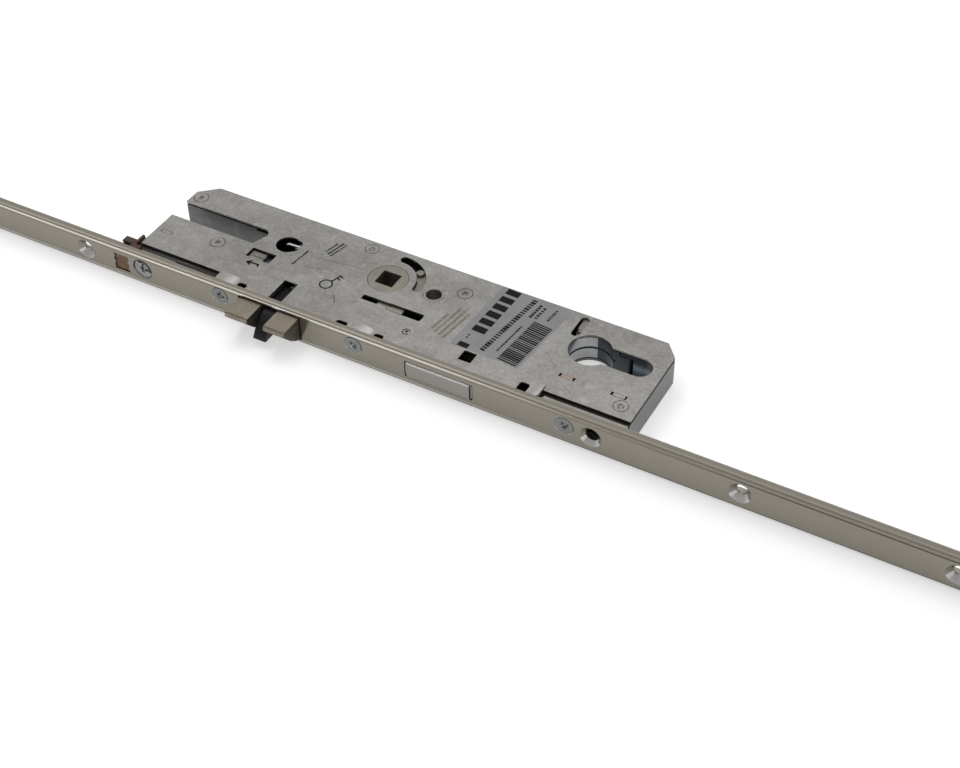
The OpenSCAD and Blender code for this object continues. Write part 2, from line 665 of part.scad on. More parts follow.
module gear_stop() {
    color([0.66, 0.63, 0.55]) union() {
        slab([cyl_x - 9.8, 8.6, zi - 1.4], [cyl_x - 8, 12, zi - seat]);
        slab([cyl_x - 10.7, 10.2, zi - 1.4], [cyl_x - 8, 12, zi - seat]);
        slab([cyl_x - 10.7, 11.2, zi - 1.4], [cyl_x - 4, case_back - sheet - seat, zi - seat]);
        slab([cyl_x - 11.2, 15.4, -zi + seat], [cyl_x - 7.2, case_back - sheet - seat, zi - seat]);
    }
}

module snib_block() {
    color([0.50, 0.50, 0.50]) slab([-59.9, -15.2, -zi + seat], [-49.8, -8.8, 3.6]);
}

module snib_slider() {
    color([0.64, 0.61, 0.55]) union() {
        slab([-60, -14.7, 3.8], [-51.6, -9.3, zi - 0.2]);
        slab([-58.2, -12.4, zi - 0.3], [-53.6, -11.6, zi + 0.2]);
    }
}

module case_screws() {
    color([0.68, 0.70, 0.71]) for (p = case_screw_at) difference() {
        sunk(p[0], p[1], 4.02, 2, front_y + 4.6);
        cross_y(p[0], p[1], face_y);
    }
}

module transport_clip() {
    color([0.42, 0.23, 0.16]) union() {
        clip_window(face_y + 0.5, face_back, 0.15);
        // Neck through the slot of the rod and the web behind it
        slab([clip_x - 2.65, face_back - 0.2, -2.3], [clip_x + 3.15, rod_y1 + 0.4, 2.3]);
        slab([clip_x - 2.45, rod_y1 + 0.2, -2.3], [clip_x + 3.35, -28.4, 7.2]);
        // Cross that lies over the gap
        slab([clip_x - 2.45, -31.6, 6.1], [clip_x + 4.15, -28.4, 7.4]);
        slab([clip_x + 2.35, face_back + 0.1, 6.1], [clip_x + 7.35, -31.2, 7.4]);
        slab([clip_x + 3.15, -30, 5.4], [clip_x + 4.35, -24.8, 7.6]);
    }
}

// Open steel box behind the faceplate for a hook on axis x
module hook_case(x) {
    y0 = rod_y1 + 0.3;
    y1 = 2.2;
    difference() {
        union() {
            slab([x + box_l[0], y0, -zt], [x + box_l[1], y1, -zi]);
            slab([x + box_l[0], y1 - sheet, -zt], [x + box_l[1], y1, zi]);
            for (e = [box_l[0], box_l[1] - sheet])
                slab([x + e, y0, -zt], [x + e + sheet, y1, zi]);
            // Lugs for the screws through the faceplate
            for (e = lug_at) {
                bar_y(x + e, 0, 3, face_back + seat, -24);
                slab([x + e - 4, y0, -zt], [x + e + 4, -24, zi]);
            }
        }
        bar_z(x, hook_y, 3.05, -zt - 1, zt + 1);
        for (e = lug_at) bar_y(x + e, 0, 2.05, face_back - 1, -23);
        for (e = lug_at) bar_z(x + e, -27, 1.55, zi - 3, zi + 1);
    }
}

module hook_cover(x) {
    y0 = rod_y1 + 0.3;
    difference() {
        slab([x + box_l[0], y0, zi], [x + box_l[1], 2.2, zt]);
        bar_z(x, hook_y, 3.05, -zt - 1, zt + 1);
        for (e = lug_at) bar_z(x + e, -27, 1.55, zi - 1, zt + 1);
        slab([x - 40, -12, zi - 1], [x - 24, -6, zt + 1]);
    }
}

// Hook drawn back, pointing up the door, with its toothed wheel
module hook(x) {
    r = hook_reach;
    translate([x, hook_y, 0]) difference() {
        union() {
            translate([0, 0, -hook_h / 2]) linear_extrude(hook_h)
                polygon([[0, -8], [-r + 12, -6.5], [-r + 5, -5.2], [-r + 1.2, -2.4], [-r, 1.4],
                    [-r + 0.4, 8.6], [-r + 2.2, 9.4], [-r + 6.2, 9], [-r + 7, 4.6], [-r + 12, 3.2],
                    [-12, 7.4], [0, 8]]);
            translate([0, 0, -hook_h / 2]) cylinder(r = 8, h = hook_h);
            translate([0, 0, hook_h / 2 - 0.1]) linear_extrude(1.8) gear_2d(hook_teeth);
            translate([0, 0, -zi + 0.2]) cylinder(r = 5, h = 2 * zi - 0.4);
        }
        translate([0, 0, -zt]) cylinder(r = 3 + run, h = 2 * zt);
    }
}

module hook_pin(x) {
    color([0.70, 0.71, 0.72]) union() {
        bar_z(x, hook_y, 3, -zt - 0.1, zt + 0.1);
        bar_z(x, hook_y, 4.2, zt + 0.05, zt + 0.6);
        bar_z(x, hook_y, 4.2, -zt - 0.6, -zt - 0.05);
    }
}

// Rack on the back of a rod
module hook_rack(x) {
    color([0.60, 0.60, 0.58]) union() {
        translate([x, hook_rack_y, hook_h / 2 + 0.3]) linear_extrude(zi - 0.2 - hook_h / 2 - 0.3)
            rack_2d(-6, 1, rod_y1 + 0.05 - hook_rack_y);
    }
}

module upper_hook_case() {
    color([0.60, 0.61, 0.62]) hook_case(-hook_up);
}

module lower_hook_case() {
    color([0.60, 0.61, 0.62]) hook_case(hook_down);
}

module upper_hook_cover() {
    color([0.64, 0.65, 0.65]) hook_cover(-hook_up);
}

module lower_hook_cover() {
    color([0.64, 0.65, 0.65]) hook_cover(hook_down);
}

module upper_hook() {
    color([0.66, 0.66, 0.64]) hook(-hook_up);
}

module lower_hook() {
    color([0.66, 0.66, 0.64]) hook(hook_down);
}

module upper_hook_pin() {
    hook_pin(-hook_up);
}

module lower_hook_pin() {
    hook_pin(hook_down);
}

module upper_rack() {
    hook_rack(-hook_up);
}

module lower_rack() {
    hook_rack(hook_down);
}

module hook_case_screws() {
    color([0.68, 0.70, 0.71]) for (x = [-hook_up, hook_down], e = lug_at) {
        difference() {
            sunk(x + e, 0, 4.02, 2, -25);
            cross_y(x + e, 0, face_y);
        }
        bar_z(x + e, -27, 1.5, zi - 2.5, zt + 0.1);
        bar_z(x + e, -27, 2.6, zt + 0.05, zt + 0.7);
    }
}

faceplate();
case_tray();
case_cover();
cover_screws();
cover_rivets();
latch_bolt();
latch_spring();
trigger();
trigger_spring();
follower();
follower_pin();
fixing_bush();
deadbolt();
drive_slide();
slide_pin();
upper_rod();
lower_rod();
coupling_screw();
cylinder_gear();
rack_guide();
cylinder_guide();
gear_stop();
snib_slider();
snib_block();
case_screws();
transport_clip();
upper_hook_case();
upper_hook_cover();
upper_hook();
upper_hook_pin();
upper_rack();
lower_hook_case();
lower_hook_cover();
lower_hook();
lower_hook_pin();
lower_rack();
hook_case_screws();
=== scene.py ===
# %% [markdown]
# # A multipoint door lock, dressed for its photograph
#
# The lock lies on its side. A long steel faceplate runs right through the picture, and the flat
# case with the latch, the bolt and the cylinder hole sits behind its middle. The imported model gives
# every piece its place. This script only gives the pieces their finish and their fine shape.
# We start by loading that model and keeping its box.

# %% Load the imported model
import json
import math

import bmesh
import bpy
from mathutils import Matrix, Vector


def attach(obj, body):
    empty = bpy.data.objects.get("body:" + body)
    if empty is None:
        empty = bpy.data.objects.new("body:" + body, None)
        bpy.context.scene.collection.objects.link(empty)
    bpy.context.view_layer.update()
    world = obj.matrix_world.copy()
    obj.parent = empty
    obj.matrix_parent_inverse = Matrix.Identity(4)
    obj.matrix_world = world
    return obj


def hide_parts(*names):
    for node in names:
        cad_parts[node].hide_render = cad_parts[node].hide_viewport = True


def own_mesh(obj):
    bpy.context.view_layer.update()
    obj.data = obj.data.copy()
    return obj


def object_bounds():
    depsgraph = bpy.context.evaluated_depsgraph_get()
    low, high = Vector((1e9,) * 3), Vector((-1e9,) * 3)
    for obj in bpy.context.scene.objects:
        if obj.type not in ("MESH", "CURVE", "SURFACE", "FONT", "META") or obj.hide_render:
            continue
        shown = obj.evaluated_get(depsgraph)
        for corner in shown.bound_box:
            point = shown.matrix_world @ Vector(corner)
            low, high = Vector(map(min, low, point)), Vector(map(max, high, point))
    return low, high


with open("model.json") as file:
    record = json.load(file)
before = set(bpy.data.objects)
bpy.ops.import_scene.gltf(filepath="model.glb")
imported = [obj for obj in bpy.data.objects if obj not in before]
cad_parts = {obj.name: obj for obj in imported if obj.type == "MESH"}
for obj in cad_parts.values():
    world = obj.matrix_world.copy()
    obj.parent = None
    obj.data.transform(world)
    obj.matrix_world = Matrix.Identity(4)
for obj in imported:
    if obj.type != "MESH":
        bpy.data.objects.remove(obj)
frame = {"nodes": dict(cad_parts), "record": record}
CAD_BOX = [list(c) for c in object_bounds()]
MM = 0.001


def show(obj):
    """Puts an object into the scene."""
    bpy.context.scene.collection.objects.link(obj)


print("the model's box in mm:", [[round(v / MM, 1) for v in c] for c in CAD_BOX])

# %% [markdown]
# ## The camera
#
# The photographer stood in front of the faceplate, to the right, and looked down at about 43
# degrees. The place was worked out from the known sizes of such a lock: 92 mm from the spindle to
# the cylinder, a 17 mm cylinder hole and a 16 mm faceplate. The three rows are the camera's right,
# up and backward directions, so together they are its turn. A 64 mm lens gives the photo's mild
# perspective.

# %% Set up the camera
CAM_AT = Vector((0.29947, -0.44870, 0.45481))
CAM_AXES = ((0.87405878, 0.48561068, -0.01426619),
            (-0.3244442, 0.60532592, 0.72685383),
            (0.36160368, -0.63068439, 0.686644))
camera_data = bpy.data.cameras.new("photo_camera")
camera_data.lens = 64.244
camera_data.sensor_width = 36
camera_data.clip_end = 20
camera = bpy.data.objects.new("photo_camera", camera_data)
camera.matrix_world = Matrix.Translation(CAM_AT) @ Matrix(CAM_AXES).transposed().to_4x4()
show(camera)
bpy.context.scene.camera = camera
bpy.context.scene.view_settings.view_transform = "Standard"
print("camera at", [round(v, 3) for v in CAM_AT], "lens", camera_data.lens)

# %% [markdown]
# ## Shader maths in plain Python
#
# A material is a small program of nodes. Wiring each Math node by hand hides the idea, so one class
# wraps a socket and lets us write `1 - mask * 0.3`. Values use the operators. Colours go through
# `mix`, because a Math node would turn them grey. Every other node comes from `node`.

# %% Wrap a socket so that it can be calculated with
class Wire:
    """A value on its way through a material."""

    def __init__(self, finish, socket):
        self.finish, self.socket = finish, socket

    def _math(self, operation, *values):
        return self.finish.node("ShaderNodeMath", {"operation": operation}, dict(enumerate(values)))

    def __add__(self, other):
        return self._math("ADD", self, other)

    def __sub__(self, other):
        return self._math("SUBTRACT", self, other)

    def __mul__(self, other):
        return self._math("MULTIPLY", self, other)

    def __rsub__(self, other):
        return self._math("SUBTRACT", other, self)

    __radd__ = __add__
    __rmul__ = __mul__

    def step(self, low, high):
        """0 below low, 1 above high, smooth between."""
        return self.finish.node("ShaderNodeMapRange", {"interpolation_type": "SMOOTHSTEP"},
                                {"Value": self, "From Min": low, "From Max": high})


# %% [markdown]
# ## One workbench for all finishes
#
# `Finish` starts a material with a Principled shader. `grain` gives noise in millimetres, and can
# be stretched along one direction, which is what brushing or rolling does to metal.

# %% The finish workbench
class Finish:
    """A material under construction."""

    def __init__(self, name, metallic, **fixed):
        self.material = bpy.data.materials.new(name)
        self.material.use_nodes = True
        self.tree = self.material.node_tree
        self.shader = self.tree.nodes["Principled BSDF"]
        self.shader.inputs["Metallic"].default_value = metallic
        for key, value in fixed.items():
            self.shader.inputs[key.replace("_", " ")].default_value = value
        self.place = self.node("ShaderNodeTexCoord", {}, {}, "Object")

    def node(self, kind, settings, values, output=0):
        new = self.tree.nodes.new(kind)
        for key, value in settings.items():
            setattr(new, key, value)
        for key, value in values.items():
            if isinstance(value, Wire):
                self.tree.links.new(value.socket, new.inputs[key])
            else:
                new.inputs[key].default_value = value
        return Wire(self, new.outputs[output])

    def grain(self, size_mm, stretch=(1, 1, 1), detail=4.0, shift=(0, 0, 0)):
        scale = tuple(1 / (size_mm * MM * s) for s in stretch)
        moved = self.node("ShaderNodeMapping", {}, {"Vector": self.place, "Scale": scale,
                                                    "Location": shift})
        return self.node("ShaderNodeTexNoise", {},
                         {"Vector": moved, "Scale": 1.0, "Detail": detail})

    def mix(self, share, low, high):
        values = {"Factor": share}
        for slot, colour in ((6, low), (7, high)):
            values[slot] = colour if isinstance(colour, Wire) else (*colour, 1)
        return self.node("ShaderNodeMix", {"data_type": "RGBA"}, values, 2)

    def feed(self, socket, wire):
        self.tree.links.new(wire.socket, self.shader.inputs[socket])

    def bump(self, height, depth_mm, strength):
        wire = self.node("ShaderNodeBump", {}, {"Height": height, "Strength": strength,
                                                "Distance": depth_mm * MM})
        self.feed("Normal", wire)


def scaled(colour, factor):
    """The same colour, lighter or darker, held at 1."""
    return tuple(min(1, c * factor) for c in colour)


print("workbench ready")

# %% [markdown]
# ## Zinc-plated sheet
#
# The case is stamped from zinc-plated steel. It is a cool, even grey with faint clouds where the
# coating is thicker, a fine rolling grain, handling smudges and a few rubbed, brighter spots. Large
# soft noise gives the clouds. Finer noise gives the crystals of the coating and the rolling grain,
# and both go into the bump as well.

# %% Make the zinc finish
def zinc_sheet(name, dark, light, rough=0.40):
    f = Finish(name, 0.72)
    clouds = f.grain(22, stretch=(2, 1, 1), detail=5.0)
    spangle = f.grain(1.3, detail=4.0, shift=(3, 5, 7))
    rolled = f.grain(0.45, stretch=(9, 1, 1), detail=2.0)
    rubbed_and_highlight = f.grain(7, detail=6.0, shift=(9, 1, 4)).step(0.60, 0.74)
    smudge = f.grain(4.5, detail=5.0, shift=(6, 2, 9)).step(0.32, 0.68)
    share = (clouds.step(0.3, 0.7) * 0.26 + spangle.step(0.25, 0.75) * 0.34
             + rolled * 0.20 + smudge * 0.20)
    base = f.mix(share, dark, light)
    f.feed("Base Color", f.mix(rubbed_and_highlight * 0.4, base, scaled(light, 1.22)))
    f.feed("Roughness", clouds * 0.10 + spangle * 0.10 + (rough - 0.10) - rubbed_and_highlight * 0.06)
    f.bump(spangle * 0.6 + rolled * 0.4, 0.06, 0.5)
    return f.material


ZINC = zinc_sheet("zinc_sheet", (0.165, 0.161, 0.154), (0.385, 0.373, 0.354))
# A lighter copy, painted on the cover's ridges as highlight
RIDGE_HIGHLIGHT = zinc_sheet("ridge_painted_highlight", (0.300, 0.290, 0.278), (0.480, 0.465, 0.445), 0.30)
# A darker copy, painted on the case walls as shade and also used for fine scratches
ZINC_SHADE_AND_SCRATCH = zinc_sheet("zinc_wall_shade_and_scratch", (0.120, 0.120, 0.120), (0.190, 0.188, 0.184))
ROD = zinc_sheet("rod_zinc", (0.22, 0.21, 0.18), (0.34, 0.325, 0.285), 0.36)
print("zinc finishes:", [m.name for m in (ZINC, RIDGE_HIGHLIGHT, ZINC_SHADE_AND_SCRATCH, ROD)])

# %% [markdown]
# ## Satin nickel on the faceplate
#
# The faceplate is warmer, a grey with some beige in it. It is brushed along its length, so its
# grain is very long in X. Handling leaves soft clouds and a few hair-fine scratches. Both long
# edges are rolled, and highlight and shade are painted on each strip of them: a bright painted
# highlight beside the latch and on the rim, a dull brown painted sheen further along, painted
# shade on the crown, a dark painted shade line and painted shade on the underside. These strips
# are bands at fixed heights of the piece, so `edge_bands` reads the place on the piece. The
# screws, the bolt and the bores use the same brushing.

# %% Make the brushed finishes
# Colours of the highlight and shade bands painted on the faceplate's edges
PAINTED_SHADE_LINE = (0.070, 0.058, 0.042)
PAINTED_EDGE_SHEEN = (0.30, 0.272, 0.222)
PAINTED_CROWN_SHADE = (0.215, 0.195, 0.158)
PAINTED_EDGE_HIGHLIGHT = (0.64, 0.61, 0.56)
PAINTED_RIM_HIGHLIGHT = (0.44, 0.40, 0.34)
PAINTED_UNDERSIDE_SHADE = (0.050, 0.046, 0.040)
DULL_METALLIC = 0.25


def place_mm(f, axis):
    """The place along one axis of the piece, in mm."""
    return f.node("ShaderNodeSeparateXYZ", {}, {0: f.place}, axis) * 1000


def edge_bands(f, base, lines):
    """Paints highlight and shade bands along the faceplate's edges. Returns the colour and where it
    is dull.
    """
    along, height = place_mm(f, 0), place_mm(f, 2)
    latch_side = 1 - along.step(30, 125)
    # Painted bands at fixed heights: a dark shade line where the flat face meets the rounding, a
    # highlight on the rounding beside the latch and a dull sheen further along, shade on the crown, a
    # highlight on the rim, a thin highlight and shade on the lower edge
    shade_line_mask = height.step(5.2, 5.6) * (1 - height.step(6.0, 6.4))
    rubbed_and_highlight = height.step(6.1, 6.5) * (1 - height.step(6.9, 7.3))
    crown = height.step(7.0, 7.4)
    rim = height.step(7.45, 7.6) * (1 - height.step(7.9, 7.96))
    lower = (1 - height.step(-5.9, -5.6)) * height.step(-6.5, -6.3)
    under = 1 - height.step(-6.6, -6.4)
    brown_side = rubbed_and_highlight * (1 - latch_side)
    bright_side = (rubbed_and_highlight * (lines * 0.4 + 0.6) + lower * 0.6) * latch_side
    for share, colour in ((shade_line_mask * (along.step(110, 200) * 0.6 + 0.3), PAINTED_SHADE_LINE),
                          (brown_side, PAINTED_EDGE_SHEEN), (crown, PAINTED_CROWN_SHADE),
                          (bright_side, PAINTED_EDGE_HIGHLIGHT),
                          (rim * (latch_side * 0.5 + 0.4), PAINTED_RIM_HIGHLIGHT), (under, PAINTED_UNDERSIDE_SHADE)):
        base = f.mix(share, base, colour)
    return base, brown_side + crown + under


def lit_band(f, low, middle, high):
    """1 at the middle height and 0 from the low and the high one outwards, in mm."""
    height = place_mm(f, 2)
    return height.step(low, middle) * (1 - height.step(middle, high))


def brushed(name, dark, light, rough, along=(60, 1, 1), metallic=0.8, size=0.35, relief=0.25,
            edge=False, highlight_band=None):
    """Brushed metal. along stretches the grain, size is its width in mm."""
    f = Finish(name, metallic)
    lines = f.grain(size, stretch=along, detail=3.0)
    clouds = f.grain(30, stretch=(2, 1, 1), detail=4.0, shift=(2, 2, 2))
    hairs = f.grain(0.16, stretch=tuple(a * 2 for a in along), detail=1.0,
                    shift=(5, 0, 1)).step(0.66, 0.72)
    base = f.mix(lines * 0.5 + clouds * 0.5, dark, light)
    dull = None
    # The faceplate's edges get the painted highlight and shade bands
    if edge:
        base, dull = edge_bands(f, base, lines)
        f.feed("Metallic", metallic - dull * (metallic - DULL_METALLIC))
    # A painted highlight band across the given heights
    if highlight_band:
        base = f.mix(lit_band(f, *highlight_band), base, scaled(light, 3.2))
    f.feed("Base Color", base)
    level = lines * 0.12 + clouds * 0.10 + hairs * 0.08 + (rough - 0.11)
    f.feed("Roughness", level + dull * 0.3 if dull else level)
    f.bump(lines + hairs * 0.5, 0.02, relief)
    return f.material


NICKEL = brushed("satin_nickel", (0.215, 0.198, 0.164), (0.300, 0.280, 0.237),
                 0.20, relief=0.06, edge=True)
BOLT = brushed("ground_bolt", (0.22, 0.208, 0.192), (0.33, 0.315, 0.295), 0.26)
BRIGHT = brushed("bright_steel", (0.15, 0.158, 0.162), (0.46, 0.47, 0.475),
                 0.22, along=(1, 1, 40), metallic=1.0)
# Painted shade for the right half of the gear's bore
GEAR_BORE_SHADE = brushed("gear_bore_painted_shade", (0.026, 0.032, 0.038), (0.070, 0.082, 0.095), 0.30, along=(1, 1, 8),
                metallic=0.7)
DARK = brushed("dark_steel", (0.10, 0.115, 0.135), (0.19, 0.21, 0.235), 0.34, along=(1, 1, 30))
SCREW = brushed("screw_zinc", (0.095, 0.101, 0.099), (0.310, 0.322, 0.318), 0.24, along=(1, 1, 1),
                size=0.9)
JOIN = brushed("coupling_zinc", (0.018, 0.020, 0.022), (0.50, 0.513, 0.517),
               0.18, along=(1, 1, 1), size=1.0)
# The guide's walls carry a painted highlight band
GUIDE = brushed("guide_wall", (0.020, 0.026, 0.032), (0.050, 0.062, 0.074),
                0.34, along=(30, 1, 1), metallic=0.6, highlight_band=(-2.5, 0.4, 3.0))
# Painted shade for the walls of the follower's square bore
SQUARE_BORE_SHADE = brushed("square_bore_painted_shade", (0.060, 0.054, 0.045), (0.105, 0.096, 0.082), 0.5, along=(1, 1, 20),
               metallic=0.3)
# Painted shade for faces in gaps, holes and slots
SHADE = brushed("shaded_bore", (0.022, 0.020, 0.017), (0.050, 0.045, 0.038),
                0.5, along=(1, 1, 20), metallic=0.5)
# The spring wire colour, also painted on as highlight on the bolt's rounded edge and in the
# faceplate's countersinks
WIRE_AND_HIGHLIGHT = brushed("spring_wire_and_highlight", (0.60, 0.60, 0.58), (0.82, 0.82, 0.80), 0.30, along=(1, 1, 1),
               metallic=0.35)
print("brushed finishes ready")

# %% [markdown]
# ## Castings and plastics
#
# The latch, the follower and the small sliders are cast or sintered. They are yellowish beige and
# dull, with tiny pores, and rubbed bright patches where they slide. The trigger, the clip and the
# prints are plastic or ink, with worn, paler patches.

# %% Make the casting and plastic finishes
def casting(name, dark, light, rough=0.46, metallic=0.6):
    f = Finish(name, metallic)
    skin = f.grain(1.1, detail=5.0)
    pores = f.grain(0.45, detail=2.0, shift=(1, 7, 3)).step(0.62, 0.78)
    polish = f.grain(5, stretch=(1, 2.5, 1), detail=4.0, shift=(4, 4, 0)).step(0.5, 0.7)
    base = f.mix(skin, dark, light)
    base = f.mix(polish * 0.45, base, scaled(light, 1.25))
    f.feed("Base Color", f.mix(pores * 0.5, base, scaled(dark, 0.55)))
    f.feed("Roughness", skin * 0.16 + (rough - 0.08) - polish * 0.12)
    f.bump(skin - pores * 0.6, 0.06, 0.4)
    return f.material


def moulded(name, dark, light, rough=0.42, index=1.48):
    f = Finish(name, 0.0, IOR=index)
    skin = f.grain(0.6, detail=3.0)
    wear = f.grain(3.5, detail=5.0, shift=(2, 6, 1)).step(0.52, 0.72)
    f.feed("Base Color", f.mix(wear * 0.6 + skin * 0.3, dark, light))
    f.feed("Roughness", skin * 0.14 + wear * 0.12 + (rough - 0.1))
    f.bump(skin, 0.04, 0.3)
    return f.material


CAST = casting("latch_casting", (0.150, 0.130, 0.098), (0.275, 0.242, 0.188), 0.42)
# A darker copy of the casting, painted on the latch's flanks as shade
CAST_FLANK_SHADE = casting("latch_flank_painted_shade", (0.070, 0.062, 0.050), (0.150, 0.136, 0.110))
BEIGE = casting("beige_sinter", (0.175, 0.164, 0.138), (0.255, 0.240, 0.205), 0.5, 0.5)
COPPER = casting("coppery_sheet", (0.260, 0.190, 0.145), (0.400, 0.310, 0.240), 0.42, 0.7)
NAVY = moulded("navy_plastic", (0.006, 0.006, 0.007), (0.020, 0.019, 0.021), 0.46, 1.38)
AMBER = moulded("amber_plastic", (0.110, 0.052, 0.018), (0.330, 0.175, 0.070), 0.35, 1.40)
RUSSET = moulded("russet_plastic", (0.045, 0.018, 0.011), (0.120, 0.055, 0.030), 0.45, 1.38)
DOTS = moulded("pale_print", (0.150, 0.130, 0.085), (0.260, 0.235, 0.165), 0.6)
# Black ink for the prints, also painted on as shade inside the trigger's slot
INK_AND_SHADE = moulded("printed_ink_and_shade", (0.004, 0.004, 0.004), (0.012, 0.012, 0.013), 0.7, 1.25)
print("casting and plastic finishes ready")

# %% [markdown]
# ## Dressing a CAD solid
#
# A CAD solid has knife-sharp edges and flat little facets on its round walls. Real stamped,
# turned and cast metal has a small radius that catches a thread of light. The helpers below copy
# a node's mesh, merge its loose triangles and join the flat ones, round chosen edges, and shade
# smoothly where two faces meet at a small angle.

# %% Mesh helpers
BODIES = frame["record"]["behaviour"]["bodies"]


def merged_copy(node):
    source = frame["nodes"][node]
    mesh = bpy.data.meshes.new(node + "_dressed")
    b = bmesh.new()
    b.from_mesh(source.data)
    bmesh.ops.remove_doubles(b, verts=b.verts, dist=2e-6)
    bmesh.ops.dissolve_degenerate(b, edges=b.edges, dist=1e-6)
    bmesh.ops.dissolve_limit(b, angle_limit=math.radians(0.6), verts=b.verts, edges=b.edges,
                             delimit={"NORMAL"})
    b.to_mesh(mesh)
    b.free()
    return mesh


def body_of_node(node):
    return next(name for name, nodes in BODIES.items() if node in nodes)


def apply_modifiers(obj):
    graph = bpy.context.evaluated_depsgraph_get()
    graph.update()
    done = bpy.data.meshes.new_from_object(obj.evaluated_get(graph))
    obj.modifiers.clear()
    obj.data = done
    return done


def smooth_by_angle(mesh, degrees=32):
    mesh.polygons.foreach_set("use_smooth", [True] * len(mesh.polygons))
    b = bmesh.new()
    b.from_mesh(mesh)
    for edge in b.edges:
        edge.smooth = len(edge.link_faces) == 2 and edge.calc_face_angle(0) < math.radians(degrees)
    b.to_mesh(mesh)
    b.free()


def new_piece(name, mesh, body, materials):
    piece = bpy.data.objects.new(name, mesh)
    show(piece)
    mesh.materials.clear()
    for m in materials:
        mesh.materials.append(m)
    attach(piece, body)
    return piece


def round_front(mesh, limit, width):
    """Rounds the sharp edges that lie before the given Y, in mm."""
    b = bmesh.new()
    b.from_mesh(mesh)
    edges = [e for e in b.edges if max(v.co.y for v in e.verts) < limit * MM
             and len(e.link_faces) == 2 and e.calc_face_angle(0) > 0.6]
    bmesh.ops.bevel(b, geom=edges, offset=width * MM, segments=4, profile=0.5, affect="EDGES")
    b.to_mesh(mesh)
    b.free()


print("mesh helpers ready")

# %% [markdown]
# ## One call per piece
#
# `dress` puts the helpers together. It copies the node, gives its edges a narrow bevel, evens out
# the normals and sets the materials face by face. The copy then stands for the node and rides on
# the same body.

# %% Dress a node
def dress(node, materials, bevel_mm=0.15, choose=None, front=None):
    """Gives a node its finish and its small radii.

    choose(centre in mm, normal) tells which of the materials a face gets. front is the Y limit
    and the width of a larger radius at the front, in mm.
    """
    mesh = merged_copy(node)
    if front:
        round_front(mesh, *front)
    piece = bpy.data.objects.new(node + "_dressed", mesh)
    show(piece)
    if bevel_mm:
        m = piece.modifiers.new("edge", "BEVEL")
        m.width, m.segments, m.limit_method = bevel_mm * MM, 2, "ANGLE"
        m.angle_limit = math.radians(38)
        m.use_clamp_overlap = False
        m.miter_outer = "MITER_ARC"
        mesh = apply_modifiers(piece)
    smooth_by_angle(mesh)
    m = piece.modifiers.new("even", "WEIGHTED_NORMAL")
    m.mode, m.weight, m.keep_sharp = "FACE_AREA", 60, True
    mesh = apply_modifiers(piece)
    mesh.materials.clear()
    for material in materials:
        mesh.materials.append(material)
    if choose:
        for face in mesh.polygons:
            face.material_index = choose(face.center / MM, face.normal)
    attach(piece, body_of_node(node))
    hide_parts(node)
    print(f"{node}: {len(mesh.polygons)} faces")
    return piece


def move(piece, axis, by_mm, where):
    """Moves the vertices for which where(x, y, z), in mm, is true along one axis."""
    for v in piece.data.vertices:
        if where(*(c / MM for c in v.co)):
            v.co[axis] += by_mm * MM


print("dress works on", len(frame["nodes"]), "nodes")

# %% [markdown]
# ## The pressed case
#
# Tray and cover are two pressings that meet at a seam. On the real lock the seam is open by a hair
# and reads as a dark line, so the faces beside it move apart a little. The tray's floor, seen only
# through slots, and the tops of its walls get painted shade, and so do the cover's side walls at
# the far end. The walls of the tray and the hook boxes get a darker copy of the zinc as painted
# shade, and the ridges on the cover a lighter one as painted highlight. Both hook boxes are made
# of the same sheet.

# %% Dress the case and the hook boxes
SEAM = 5.5
SEAM_OPEN = 0.32
NEAR_SEAM = 0.17
RIDGE_FROM = 6.74
FRONT_EDGE = -29.4
STEP_FROM, STEP_TO = -62.5, 85.7


def wall_or_top(centre, normal):
    # Index 1 puts the darker zinc on walls as painted shade
    return 0 if abs(normal.z) > 0.7 else 1


def tray_finish(centre, normal):
    """2, painted shade, on the inner floor and the tops of the walls."""
    return 2 if normal.z > 0.5 and -5.9 < centre.z < 5.6 else wall_or_top(centre, normal)


def cover_finish(centre, normal):
    """2, painted shade, on the walls at the far end. 1, a painted highlight, on the ridges."""
    return 2 if abs(normal.z) < 0.5 and centre.x > 120 else int(centre.z > RIDGE_FROM)


def beside_seam(x, y, z):
    return abs(z - SEAM) < NEAR_SEAM


tray = dress("case_tray", [ZINC, ZINC_SHADE_AND_SCRATCH, SHADE], choose=tray_finish)
move(tray, 2, -SEAM_OPEN, beside_seam)
cover = dress("case_cover", [ZINC, RIDGE_HIGHLIGHT, SHADE], choose=cover_finish)
move(cover, 2, SEAM_OPEN, beside_seam)
# The front edge beside the step stands back, so that the gap before it is dark
move(cover, 1, 0.9, lambda x, y, z: not STEP_FROM < x < STEP_TO and y < FRONT_EDGE)
for node in ("upper_hook_case", "upper_hook_cover", "lower_hook_case", "lower_hook_cover"):
    dress(node, [ZINC, ZINC_SHADE_AND_SCRATCH], choose=wall_or_top)

# %% [markdown]
# ## Slide, rods and bolts
#
# The slide, the rods and their racks are stamped strips. The hooks and the bolt are ground steel,
# and the bolt's front has a larger radius, with a painted highlight on its upper rounding and
# painted shade on its right end. The latch is a casting whose flanks facing right and down get
# painted shade. Pieces that are seen in a slot get small trims, so that the same dark gaps open as
# in the photo.

# %% Dress what slides and what locks
# The slide's lower faces behind the slot get painted shade
slide = dress("drive_slide", [ROD, SHADE], 0,
              choose=lambda c, n: int(c.z < -2 and c.y > -24))
# A dark line stays open between the tab and the front of its slot
move(slide, 1, 0.5, lambda x, y, z: z > 4.9 and y < -15.5)
for node in ("upper_rod", "lower_rod"):
    dress(node, [ROD], 0.2)
for node in ("upper_rack", "lower_rack"):
    dress(node, [ROD], 0.08)
for node in ("upper_hook", "lower_hook"):
    dress(node, [BOLT], 0.2)
